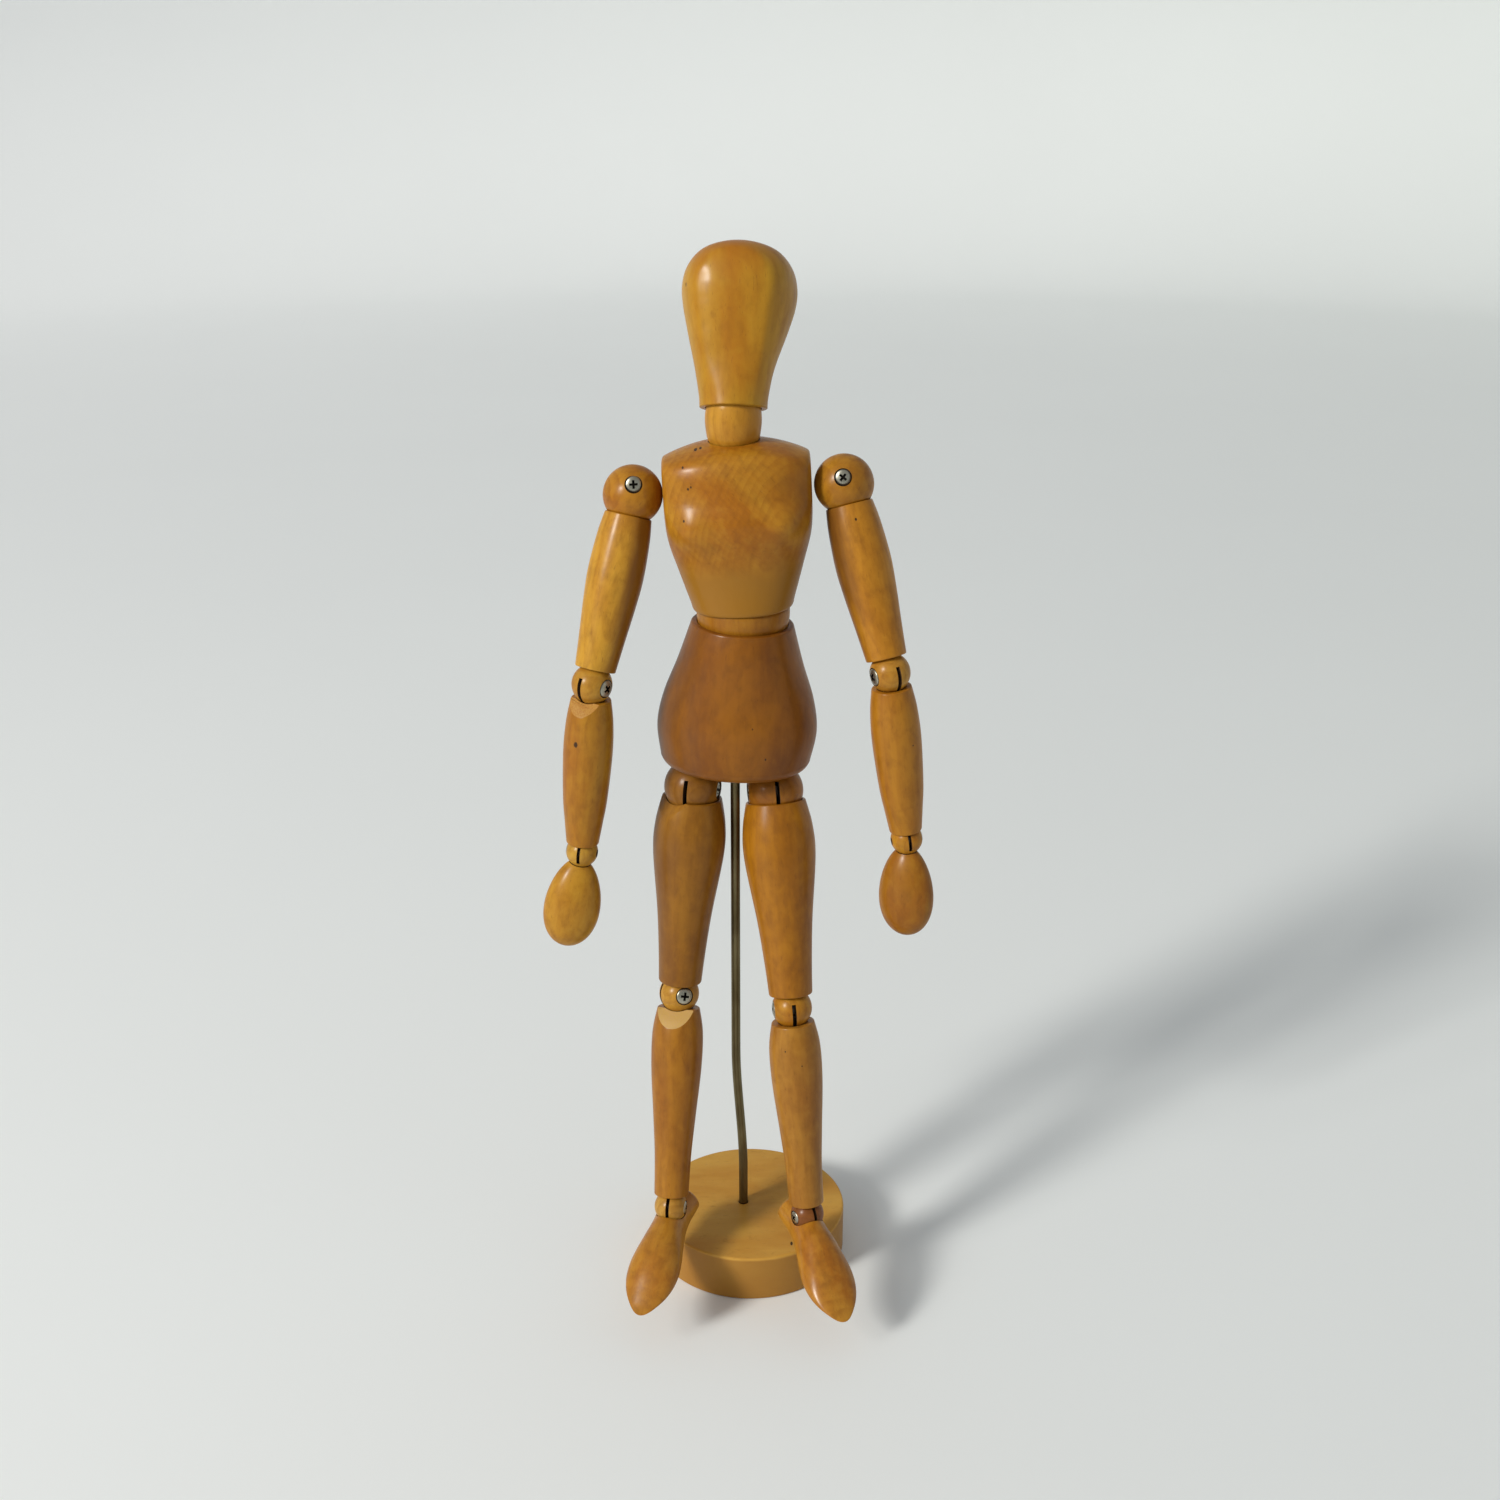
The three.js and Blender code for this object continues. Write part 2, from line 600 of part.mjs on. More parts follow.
// The turn whose X is the screw's line and whose +Z lies as near as it can to a direction.
function aim(screw, direction) {
  const x = screw.clone().normalize();
  const y = new THREE.Vector3().crossVectors(direction, x).normalize();
  const z = new THREE.Vector3().crossVectors(x, y);
  return new THREE.Quaternion().setFromRotationMatrix(new THREE.Matrix4().makeBasis(x, y, z));
}

const axisOf = (turn, axis) => new THREE.Vector3(...axis).applyQuaternion(turn);
const below = (at, turn, length) => axisOf(turn, [0, 0, -1]).multiplyScalar(length).add(at);

// A screw's line, square to a limb, from its bearing about the limb's own line.
function screwLine(turn, twist) {
  return axisOf(turn.clone().multiply(spin(twist)), [1, 0, 0]);
}

function makeArm(side, chest) {
  const out = side === "left" ? 1 : -1;
  const hangs = HANG[side];
  const bare = (h) => hang({ ...h, twist: 0 });
  const shoulder = chest.localToWorld(new THREE.Vector3(out * SHOULDER_AT[side], 0, SHOULDER_AT.up));

  const armTurn = hang(hangs.upperArm);
  const inward = axisOf(tilt(CHEST.roll), [-out, 0, 0]);
  const armDown = axisOf(armTurn, [0, 0, -1]);
  addJoint(side, "shoulder", shoulder, inward, armDown, new THREE.Vector3(0, -1, 0));
  const arm = frame(root, shoulder, armTurn);
  const armSpigots = { above: false, below: true };
  add(`${side}_upper_arm`, makeLimb(LIMBS.upperArm, BALLS.shoulder, BALLS.elbow, armSpigots), wood, arm);

  const elbow = below(shoulder, armTurn, LIMBS.upperArm.length);
  const foreTurn = hang(hangs.forearm);
  const elbowScrew = screwLine(bare(hangs.upperArm), -hangs.elbow).multiplyScalar(-out);
  const foreDown = axisOf(foreTurn, [0, 0, -1]);
  addJoint(side, "elbow", elbow, armDown.clone().negate(), foreDown, elbowScrew);
  const fore = frame(root, elbow, foreTurn);
  const foreSpigots = { above: false, below: false };
  add(`${side}_forearm`, makeLimb(LIMBS.forearm, BALLS.elbow, BALLS.wrist, foreSpigots), wood, fore);

  const wrist = below(elbow, foreTurn, LIMBS.forearm.length);
  const handTurn = hang(hangs.hand);
  const wristScrew = screwLine(bare(hangs.forearm), -hangs.wrist).multiplyScalar(out);
  const handDown = axisOf(handTurn, [0, 0, -1]);
  addJoint(side, "wrist", wrist, handDown, foreDown.clone().negate(), wristScrew);
  add(`${side}_hand`, makeHand(), wood, frame(root, wrist, handTurn));
}

function makeLeg(side, pelvis) {
  const out = side === "left" ? 1 : -1;
  const hangs = HANG[side];
  const bare = (h) => hang({ ...h, twist: 0 });
  const hip = pelvis.localToWorld(new THREE.Vector3(out * HIP_AT.out, 0, -HIP_AT.down));

  const thighTurn = hang(hangs.thigh);
  const hipUp = axisOf(tilt(PELVIS.roll), [0, 0, 1]);
  const hipScrew = screwLine(tilt(PELVIS.roll), -hangs.hip).multiplyScalar(-out);
  const thighDown = axisOf(thighTurn, [0, 0, -1]);
  addJoint(side, "hip", hip, hipUp, thighDown, hipScrew);
  const thigh = frame(root, hip, thighTurn);
  const thighSpigots = { above: false, below: true };
  add(`${side}_thigh`, makeLimb(LIMBS.thigh, BALLS.hip, BALLS.knee, thighSpigots), wood, thigh);

  const knee = below(hip, thighTurn, LIMBS.thigh.length);
  const shinTurn = hang(hangs.shin);
  const kneeScrew = screwLine(bare(hangs.thigh), -hangs.knee).multiplyScalar(-out);
  const shinDown = axisOf(shinTurn, [0, 0, -1]);
  addJoint(side, "knee", knee, thighDown.clone().negate(), shinDown, kneeScrew);
  const shin = frame(root, knee, shinTurn);
  const shinSpigots = { above: false, below: false };
  add(`${side}_shin`, makeLimb(LIMBS.shin, BALLS.knee, BALLS.ankle, shinSpigots), wood, shin);

  const ankle = below(knee, shinTurn, LIMBS.shin.length);
  const { turn, pitch } = hangs.foot;
  const footTurn = spin(-turn).multiply(about([1, 0, 0], pitch));
  const ankleScrew = screwLine(bare(hangs.shin), -hangs.ankle).multiplyScalar(-out);
  const footDown = axisOf(footTurn, [0, 0, -1]);
  addJoint(side, "ankle", ankle, footDown, shinDown.clone().negate(), ankleScrew);
  add(`${side}_foot`, makeFoot(), wood, frame(root, ankle, footTurn));
}

makeStand();
const pelvis = makePelvis();
makeWaist();
const chest = makeChest();
makeNeck();
makeHead();
makeSprings();
for (const side of ["left", "right"]) {
  makeArm(side, chest);
  makeLeg(side, pelvis);
}

export default root;
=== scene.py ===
"""A jointed wooden artist's figure on its stand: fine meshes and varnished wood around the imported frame."""
import json
import math

import bpy
import bmesh
from mathutils import Matrix, Vector


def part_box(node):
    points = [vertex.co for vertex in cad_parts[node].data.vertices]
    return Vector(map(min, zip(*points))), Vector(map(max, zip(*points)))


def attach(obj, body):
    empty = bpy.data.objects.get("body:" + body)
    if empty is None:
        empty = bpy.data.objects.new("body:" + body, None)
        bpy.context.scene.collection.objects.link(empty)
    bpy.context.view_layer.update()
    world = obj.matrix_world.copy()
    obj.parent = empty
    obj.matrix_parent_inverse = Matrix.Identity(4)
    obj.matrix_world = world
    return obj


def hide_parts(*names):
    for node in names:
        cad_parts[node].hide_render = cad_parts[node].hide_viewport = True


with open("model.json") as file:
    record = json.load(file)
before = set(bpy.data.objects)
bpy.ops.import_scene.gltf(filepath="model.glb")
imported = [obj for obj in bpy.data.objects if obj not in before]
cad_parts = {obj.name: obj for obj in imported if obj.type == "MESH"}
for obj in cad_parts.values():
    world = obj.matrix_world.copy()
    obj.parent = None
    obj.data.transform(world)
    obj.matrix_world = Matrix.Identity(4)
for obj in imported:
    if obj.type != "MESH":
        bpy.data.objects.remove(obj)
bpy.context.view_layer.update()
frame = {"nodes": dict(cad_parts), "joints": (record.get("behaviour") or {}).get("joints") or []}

# Sizes are in millimetres in each piece's own frame, and become metres when a mesh is made.
MM = 0.001
AROUND = 96                 # facets round a turned piece
CUP_GAP = 0.25              # between a ball and the cup that it sits in
EDGE = 0.45                 # the radius of a sanded edge
SHARP_ANGLE = 38            # faces that meet more steeply than this, in degrees, are not shaded smoothly

BALL = {"shoulder": 9.0, "elbow": 6.2, "wrist": 5.0, "hip": 9.1, "knee": 6.5, "ankle": 5.4}
SCREW_HEAD = {"shoulder": 2.35, "elbow": 2.6, "wrist": 2.0, "hip": 2.7, "knee": 2.6, "ankle": 2.0}
HEAD_SEAT = 0.8             # how far out a screw head's seat lies, as a share of the ball's radius
SCREW_OFF = {"right_shoulder": 2.9, "left_shoulder": 1.8}    # screws drilled off centre, away from the tang
SLOT = {"shoulder": 1.3, "elbow": 1.2, "wrist": 1.0, "hip": 1.3, "knee": 1.3, "ankle": 1.1}
SLOT_END = 0.52             # how far past the ball's middle its slot is sawn, as a share of the radius
SCREW_PROUD = 0.25          # how far a screw head's rim stands above its seat
TIP_HOLE = 1.25             # the radius of the small hole on the far side, where the screw's tip shows
# A screw's head against its radius: its dome's height, and the recess's arm, width and depth.
DOME, RECESS_ARM, RECESS_WIDTH, RECESS_DEPTH = 0.36, 0.70, 0.30, 0.414

# A limb's outline from its upper rim to its lower rim: radius, and depth below the upper ball.
LIMBS = {
    "upper_arm": [(7.1, 6.2), (8.0, 13), (8.5, 24), (8.0, 33), (7.0, 44), (6.2, 53.5)],
    "forearm": [(6.1, 4.6), (7.2, 12), (7.6, 22), (6.9, 37), (6.0, 45), (5.05, 52.5)],
    "thigh": [(9.5, 3.4), (11.2, 12), (11.4, 22), (8.9, 42), (7.65, 56), (7.0, 66.4)],
    "shin": [(6.9, 4.7), (8.3, 13), (8.25, 25), (7.0, 41), (6.05, 54), (5.65, 67.4)],
}
LIMB_ENDS = {"upper_arm": ("shoulder", "elbow"), "forearm": ("elbow", "wrist"),
             "thigh": ("hip", "knee"), "shin": ("knee", "ankle")}
# The bevels at the limbs' upper rims, where they fold: the way that each faces, in degrees from the
# figure's front towards +X, how far down the limb it reaches and how far from the axis it starts.
SCOOPS = {
    "right_forearm": (-30, 3.4, 3.2),
    "left_forearm": (180, 4.2, 3.2),
    "right_thigh": (-53, 3.6, 6.6),
    "left_thigh": (180, 4.5, 6.4),
    "right_shin": (-16, 4.4, 3.2),
    "left_shin": (180, 5.0, 3.2),
}


# ---- mesh helpers ----

def make_object(name, verts, faces, matrix):
    """An object whose mesh is in its own frame, placed in the row frame."""
    mesh = bpy.data.meshes.new(name)
    mesh.from_pydata([[c * MM for c in v] for v in verts], [], faces)
    bm = bmesh.new()
    bm.from_mesh(mesh)
    bmesh.ops.remove_doubles(bm, verts=bm.verts, dist=1e-7)
    bmesh.ops.recalc_face_normals(bm, faces=bm.faces)
    bm.to_mesh(mesh)
    bm.free()
    obj = bpy.data.objects.new(name, mesh)
    bpy.context.scene.collection.objects.link(obj)
    obj.matrix_world = matrix
    return obj


def ring(radius, height, around):
    """Points once round the Z axis."""
    angles = (2 * math.pi * k / around for k in range(around))
    return [Vector((radius * math.cos(a), radius * math.sin(a), height)) for a in angles]


def ring_faces(rows, around):
    """The four-sided faces between rows of points that each go once round."""
    return [(i * around + k, i * around + (k + 1) % around, (i + 1) * around + (k + 1) % around,
             (i + 1) * around + k) for i in range(rows - 1) for k in range(around)]


def end_faces(rows, around):
    """The two faces that close the first row and the last."""
    return [tuple(range(around)), tuple(range((rows - 1) * around, rows * around))]


def turned(name, profile, matrix, around=AROUND, reshape=None):
    """A turned piece about Z, from (radius, height) points; its ends lie on the axis."""
    verts = [v for r, z in profile for v in ring(r, z, around)]
    if reshape:
        verts = [reshape(v) for v in verts]
    return make_object(name, verts, ring_faces(len(profile), around), matrix)


def spline(points, steps):
    """Points on a smooth line through the given ones."""
    out = []
    last = len(points) - 1
    for i in range(last):
        p0, p1, p2, p3 = (Vector(points[min(max(j, 0), last)]) for j in (i - 1, i, i + 1, i + 2))
        for k in range(steps):
            t = k / steps
            out.append(tuple(0.5 * (2 * p1 + (p2 - p0) * t + (2 * p0 - 5 * p1 + 4 * p2 - p3) * t ** 2
                                    + (3 * p1 - p0 - 3 * p2 + p3) * t ** 3)))
    return out + [tuple(points[-1])]


def value_at(points, place):
    """A value read off a smooth line through (place, value) points."""
    if place <= points[0][0]:
        return points[0][1]
    for (a, _), (b, _) in zip(points, points[1:]):
        if place <= b:
            i = [p for p, _ in points].index(a)
            near = [points[min(max(j, 0), len(points) - 1)][1] for j in (i - 1, i, i + 1, i + 2)]
            t = (place - a) / (b - a)
            v0, v1, v2, v3 = near
            return 0.5 * (2 * v1 + (v2 - v0) * t + (2 * v0 - 5 * v1 + 4 * v2 - v3) * t ** 2
                          + (3 * v1 - v0 - 3 * v2 + v3) * t ** 3)
    return points[-1][1]


def round_corner(before, corner, after, size, steps=5):
    """Points that turn a corner softly, from the line before it to the line after it."""
    corner = Vector(corner)
    start = corner + (Vector(before) - corner).normalized() * size
    end = corner + (Vector(after) - corner).normalized() * size
    out = []
    for k in range(steps + 1):
        t = k / steps
        out.append(tuple(start * (1 - t) ** 2 + corner * 2 * t * (1 - t) + end * t ** 2))
    return out


def arc(radius, centre, start, end, steps):
    """(radius, height) points on a circle about an axis point, from one elevation in degrees to another."""
    out = []
    for k in range(steps + 1):
        a = math.radians(start + (end - start) * k / steps)
        out.append((radius * math.cos(a), centre + radius * math.sin(a)))
    return out


def smoothstep(low, high, value):
    t = min(max((value - low) / (high - low), 0), 1)
    return t * t * (3 - 2 * t)


def squared(value, exponent):
    """A sine or a cosine made squarer by an exponent below 1, or more pointed by one above it."""
    return math.copysign(abs(value) ** exponent, value)


def soft_min(a, b, blend):
    """The smaller of two values, with the corner between them rounded."""
    h = min(max(0.5 + 0.5 * (b - a) / blend, 0), 1)
    return b + (a - b) * h - blend * h * (1 - h)


def cut(obj, *cutters):
    """Subtracts each cutter from a piece. The cut's own material takes the piece's next slot."""
    for cutter in cutters:
        cutter.matrix_world = obj.matrix_world @ cutter.matrix_world
        if len(cutter.data.materials):
            fresh = cutter.data.materials[0]
            if fresh.name not in obj.data.materials:
                obj.data.materials.append(fresh)
            index = list(obj.data.materials).index(fresh)
            cutter.data.materials.clear()
            for material in obj.data.materials:
                cutter.data.materials.append(material)
            for face in cutter.data.polygons:
                face.material_index = index
        boolean = obj.modifiers.new("cut", "BOOLEAN")
        boolean.operation = "DIFFERENCE"
        boolean.solver = "MANIFOLD"
        boolean.object = cutter
        bpy.context.view_layer.update()
        shape = obj.evaluated_get(bpy.context.evaluated_depsgraph_get())
        mesh = bpy.data.meshes.new_from_object(shape)
        obj.modifiers.clear()
        old = obj.data
        obj.data = mesh
        bpy.data.meshes.remove(old)
        bpy.data.objects.remove(cutter)
    return obj


def lined(cutter, material):
    """The cutter, with the material that its cut shows if that is not the piece's own."""
    if material:
        cutter.data.materials.append(material)
    return cutter


def box_cutter(size, centre, material=None):
    x, y, z = (s / 2 for s in size)
    verts = [Vector(centre) + Vector((i * x, j * y, k * z))
             for i in (-1, 1) for j in (-1, 1) for k in (-1, 1)]
    faces = [(0, 1, 3, 2), (4, 6, 7, 5), (0, 4, 5, 1), (2, 3, 7, 6), (0, 2, 6, 4), (1, 5, 7, 3)]
    return lined(make_object("cutter", verts, faces, Matrix()), material)


def ball_cutter(radius, centre, material=None):
    place = Matrix.Translation(Vector(centre) * MM)
    return lined(turned("cutter", arc(radius, 0, -90, 90, 40), place, 72), material)


def rod_cutter(radius, low, high, matrix, material=None):
    profile = [(0, low), (radius, low), (radius, high), (0, high)]
    return lined(turned("cutter", profile, matrix, 48), material)


# ---- places, from the frame ----

joints = {joint["name"]: joint for joint in frame["joints"]}


def joint_at(name):
    return Vector(joints[name]["pos_m"])


def joint_line(name, towards):
    """A joint's axis, as the one of its two ways that lies nearer to a direction."""
    line = Vector(joints[name]["axis"]).normalized()
    return line if line.dot(towards) >= 0 else -line


def hinge_of(side, ball):
    """The hinge whose line is the screw through a ball."""
    motion = {"shoulder": "raise", "hip": "swing"}.get(ball, "bend")
    return f"{side}_{ball}_{motion}"


def centre_of(node):
    low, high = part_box(node)
    return (Vector(low) + Vector(high)) / 2


def placed(origin, up, front=(0, -1, 0)):
    """The frame at origin whose +Z is up and whose -Y lies as near as it can to front."""
    z = Vector(up).normalized()
    x = Vector(front).cross(z)
    x = -x.normalized()
    y = z.cross(x)
    turn = Matrix((x, y, z)).transposed().to_4x4()
    return Matrix.Translation(origin) @ turn


def about_z(degrees):
    return Matrix.Rotation(math.radians(degrees), 4, "Z")


UP = Vector((0, 0, 1))


# ---- materials ----

class Nodes:
    """Adds shader nodes to a material and links them."""

    def __init__(self, name):
        self.material = bpy.data.materials.new(name)
        self.material.use_nodes = True
        self.tree = self.material.node_tree
        self.shader = self.tree.nodes["Principled BSDF"]

    def add(self, kind, inputs=None, **settings):
        node = self.tree.nodes.new(kind)
        for key, value in settings.items():
            setattr(node, key, value)
        for key, value in (inputs or {}).items():
            self.set(node.inputs[key], value)
        return node

    def set(self, socket, value):
        if isinstance(value, bpy.types.NodeSocket):
            self.tree.links.new(value, socket)
        else:
            socket.default_value = value

    def math(self, operation, a, b=0.0):
        return self.add("ShaderNodeMath", {0: a, 1: b}, operation=operation).outputs[0]

    def times(self, a, b):
        return self.math("MULTIPLY", a, b)

    def plus(self, a, b):
        return self.math("ADD", a, b)

    def mix(self, share, a, b, blend="MIX"):
        node = self.add("ShaderNodeMix", {"Factor": share}, data_type="RGBA", blend_type=blend)
        self.set(node.inputs[6], a)
        self.set(node.inputs[7], b)
        return node.outputs[2]

    def ramp(self, value, *stops):
        node = self.add("ShaderNodeValToRGB", {"Fac": value})
        elements = node.color_ramp.elements
        while len(elements) < len(stops):
            elements.new(0.5)
        for element, (place, grey) in zip(elements, stops):
            element.position = place
            element.color = (grey, grey, grey, 1)
        return node.outputs["Color"]

    def some(self, amount, value, *stops):
        """How much of a layer shows: a share of what its ramp gives."""
        return self.times(self.ramp(value, *stops), amount)

    def vectors(self, operation, a, b, result="Vector"):
        return self.add("ShaderNodeVectorMath", {0: a, 1: b}, operation=operation).outputs[result]

    def noise(self, vector, detail=3.0, distortion=0.0, roughness=0.5, scale=1.0):
        inputs = {"Vector": vector, "Scale": scale, "Detail": detail, "Distortion": distortion,
                  "Roughness": roughness}
        return self.add("ShaderNodeTexNoise", inputs).outputs["Fac"]

    def moved(self, vector, scale=(1, 1, 1), place=(0, 0, 0), turn=(0, 0, 0)):
        inputs = {"Vector": vector, "Scale": scale, "Location": place,
                  "Rotation": [math.radians(a) for a in turn]}
        return self.add("ShaderNodeMapping", inputs).outputs["Vector"]

    def surface(self, colour, rough, relief, strength, distance):
        self.set(self.shader.inputs["Base Color"], colour)
        self.set(self.shader.inputs["Roughness"], rough)
        bump = self.add("ShaderNodeBump", {"Strength": strength, "Distance": distance, "Height": relief})
        self.set(self.shader.inputs["Normal"], bump.outputs[0])


HONEY = (0.45, 0.205, 0.014, 1)
AMBER = (0.35, 0.118, 0.004, 1)
BROWN = (0.12, 0.036, 0.003, 1)
BARE = (0.50, 0.300, 0.070, 1)
CHAR = (0.014, 0.007, 0.003, 1)


PAINTED_LIGHT_AND_STAIN_RAGGED = 1.4          # how far the wood's blotches shift the edge of each tint, real stain and painted light alike, in ramp lengths
PAINTED_LIGHT_AND_STAIN_FADE = 0.65           # the length over which each tint comes in, real stain and painted light alike
PIT_SCALE = (1, 0.4, 0.7)   # a pit reaches further inwards and along the grain than across it


def add_stains_and_painted_light(n, colour, inside, blotch, stains_and_painted_light):
    """Colour with broad tints over it, some real stain and some painted shade and painted light, each with a
    way, its start along that, a tint and a share.
    """
    for way, start, tint, share in stains_and_painted_light:
        side = n.vectors("DOT_PRODUCT", inside, way, "Value")
        waver = n.times(n.math("SUBTRACT", blotch, 0.5), PAINTED_LIGHT_AND_STAIN_RAGGED)
        ragged = n.plus(n.math("SUBTRACT", side, start), waver)
        reach = n.ramp(ragged, (0.0, 0.0), (PAINTED_LIGHT_AND_STAIN_FADE, 1.0))
        colour = n.mix(n.times(reach, share), colour, tint)
    return colour


def pitted(n, colour, inside, pits):
    """Colour with small charred pits in it, each a place in mm and a size, and the pits' depth."""
    depth = None
    for x, y, z, size in pits:
        middle = [c * scale for c, scale in zip((x, y, z), PIT_SCALE)]
        away = n.vectors("DISTANCE", n.moved(inside, scale=PIT_SCALE), middle, "Value")
        ragged = n.plus(away, n.times(n.noise(inside, 2.0, scale=1.3), 0.5 * size))
        spot = n.ramp(n.math("DIVIDE", ragged, 2.0 * size), (0.45, 1.0), (0.62, 0.0))
        colour = n.mix(n.times(spot, 0.9), colour, CHAR)
        depth = spot if depth is None else n.math("MAXIMUM", depth, spot)
    return colour, depth


def wood(name, seed, light=HONEY, dark=AMBER, pith=(14, -9, 0), tilt=(0, 0, 0), stretch=(1, 1, 3),
         spacing=3.0, rings=0.35, ball_rings=False, grain_tilt=(0, 0, 0), stains_and_painted_light=(), pits=(), gloss=0.36,
         streaks=1.0):
    """Turned and varnished wood, with the fibres along the piece's own Z before grain_tilt.

    The growth rings lie round pith, in mm, turned by tilt and drawn out by stretch. rings and streaks
    say how strongly the rings and the finer figure show, and gloss how thick the varnish is."""
    n = Nodes(name)
    place = n.add("ShaderNodeTexCoord").outputs["Object"]
    inside = n.moved(place, scale=(1000, 1000, 1000))
    fibres = n.moved(n.moved(inside, turn=grain_tilt, place=(seed * 17.3, seed * 5.1, seed * 11.7)),
                     scale=(1, 1, 0.09))

    rings_place = n.add("ShaderNodeMapping", {"Vector": inside, "Location": pith, "Scale": stretch,
                                              "Rotation": [math.radians(a) for a in tilt]},
                        vector_type="TEXTURE").outputs["Vector"]
    wander = n.add("ShaderNodeTexNoise", {"Vector": n.moved(inside, place=(seed, -seed, 3)), "Scale": 0.045,
                                          "Detail": 1.0}).outputs["Color"]
    bent = n.vectors("ADD", rings_place, n.vectors("MULTIPLY", wander, (7, 7, 7)))
    ring = n.add("ShaderNodeTexWave", {"Vector": bent, "Scale": 0.314 / spacing, "Distortion": 2.2,
                                       "Detail": 3.0, "Detail Scale": 0.12, "Detail Roughness": 0.65},
                 wave_type="RINGS", rings_direction="SPHERICAL" if ball_rings else "Z",
                 wave_profile="SAW").outputs["Fac"]
    streak = n.noise(n.moved(fibres, scale=(0.6, 0.6, 0.6)), 5.0, 0.2, 0.6)
    blotch = n.noise(n.moved(n.moved(inside, turn=grain_tilt), scale=(0.07, 0.07, 0.026),
                             place=(seed * 3.1, 7, seed)), 3.0, 0.4, 0.55)
    mottle = n.noise(n.moved(inside, scale=(0.30, 0.30, 0.22), place=(seed, 2, seed * 1.7)), 4.0, 0.3, 0.6)
    pore = n.noise(n.moved(fibres, scale=(2.8, 2.8, 4.2)), 2.0, 0.0, 0.4)
    scuff = n.noise(n.moved(inside, scale=(0.22, 0.22, 0.13), place=(5, seed * 2.3, 1)), 4.0, 0.6, 0.6)

    colour = n.mix(n.ramp(blotch, (0.34, 0.0), (0.66, 1.0)), light, dark)
    late = n.ramp(ring, (0.30, 0.0), (0.90, 1.0), (1.0, 0.15))
    uneven = n.some(rings, scuff, (0.30, 0.35), (0.62, 1.0))
    colour = n.mix(n.times(late, uneven), colour, dark)
    colour = n.mix(n.times(late, n.times(uneven, 0.35)), colour, BROWN)
    colour = n.mix(n.some(0.20 * streaks, streak, (0.46, 0.0), (0.72, 1.0)), colour, BROWN)
    colour = n.mix(n.some(0.22 * streaks, streak, (0.26, 1.0), (0.46, 0.0)), colour, light)
    colour = n.mix(n.some(0.26 * streaks, mottle, (0.50, 0.0), (0.70, 1.0)), colour, BROWN)
    colour = n.mix(n.some(0.35 * streaks, mottle, (0.32, 1.0), (0.48, 0.0)), colour, light)
    pores = n.ramp(pore, (0.66, 0.0), (0.75, 1.0))
    colour = n.mix(n.times(pores, 0.30), colour, BROWN)
    colour = n.mix(n.some(0.25, scuff, (0.62, 0.0), (0.78, 1.0)), colour, BROWN)
    # Broad tints: real stain, painted shade and painted light.
    colour = add_stains_and_painted_light(n, colour, inside, blotch, stains_and_painted_light)
    colour, pit_depth = pitted(n, colour, inside, pits)

    rough = n.plus(n.times(streak, 0.16), n.times(scuff, 0.22))
    n.shader.inputs["Specular IOR Level"].default_value = 0.12
    n.shader.inputs["Coat Weight"].default_value = gloss
    n.shader.inputs["Coat Roughness"].default_value = 0.24
    n.shader.inputs["Coat IOR"].default_value = 1.45

    relief = n.math("SUBTRACT", n.times(streak, 0.4), n.times(pores, 0.5))
    dimple = n.noise(n.moved(inside, scale=(0.4, 0.4, 0.16)), 3.0)
    relief = n.plus(relief, n.times(dimple, 1.1))
    if pit_depth is not None:
        relief = n.math("SUBTRACT", relief, n.times(pit_depth, 3.0))
    n.surface(colour, n.plus(rough, 0.34), relief, 0.4, 0.00015)
    return n.material


def bare_wood_and_painted_shade(name, light=BARE, dark=(0.50, 0.29, 0.10, 1)):
    """Wood that a blade has cut through the varnish: pale, dry and finely streaked; given near-black colours,
    it is painted shade in slots and cups.
    """
    n = Nodes(name)
    place = n.add("ShaderNodeTexCoord").outputs["Object"]
    fibre = n.noise(n.moved(place, scale=(2600, 2600, 260)), 3.0)
    saw = n.noise(n.moved(place, scale=(300, 300, 2400), turn=(20, 35, 0)), 2.0)
    colour = n.mix(n.ramp(fibre, (0.4, 0.0), (0.7, 1.0)), light, dark)
    rough = n.plus(n.times(fibre, 0.3), 0.5)
    n.surface(colour, rough, n.plus(fibre, saw), 0.5, 0.00015)
    return n.material


def steel(name, light, dark, roughness, scale=(900, 900, 90)):
    """Metal with fine drawn lines, blotchy tone and uneven polish."""
    n = Nodes(name)
    place = n.add("ShaderNodeTexCoord").outputs["Object"]
    lines = n.noise(n.moved(place, scale=scale), 4.0)
    stain = n.noise(n.moved(place, scale=(160, 160, 60)), 3.0)
    colour = n.mix(n.ramp(stain, (0.35, 0.0), (0.7, 1.0)), light, dark)
    worn = n.plus(n.times(lines, 0.25), roughness - 0.12)
    n.shader.inputs["Metallic"].default_value = 1.0
    n.surface(colour, worn, lines, 0.3, 0.00006)
    return n.material


BARE_CUT = bare_wood_and_painted_shade("bare_cut")
OLD_CUT = bare_wood_and_painted_shade("old_cut", light=(0.43, 0.205, 0.018, 1), dark=(0.36, 0.135, 0.008, 1))
# Near-black painted shade for the faces inside the balls' slots and screw holes and inside the cups where
# balls sit.
CUP_AND_SLOT_SHADE = bare_wood_and_painted_shade("cup_and_slot_shade", light=(0.10, 0.045, 0.014, 1), dark=(0.03, 0.014, 0.006, 1))
NICKEL = steel("nickel", (0.50, 0.48, 0.40, 1), (0.26, 0.24, 0.17, 1), 0.36)
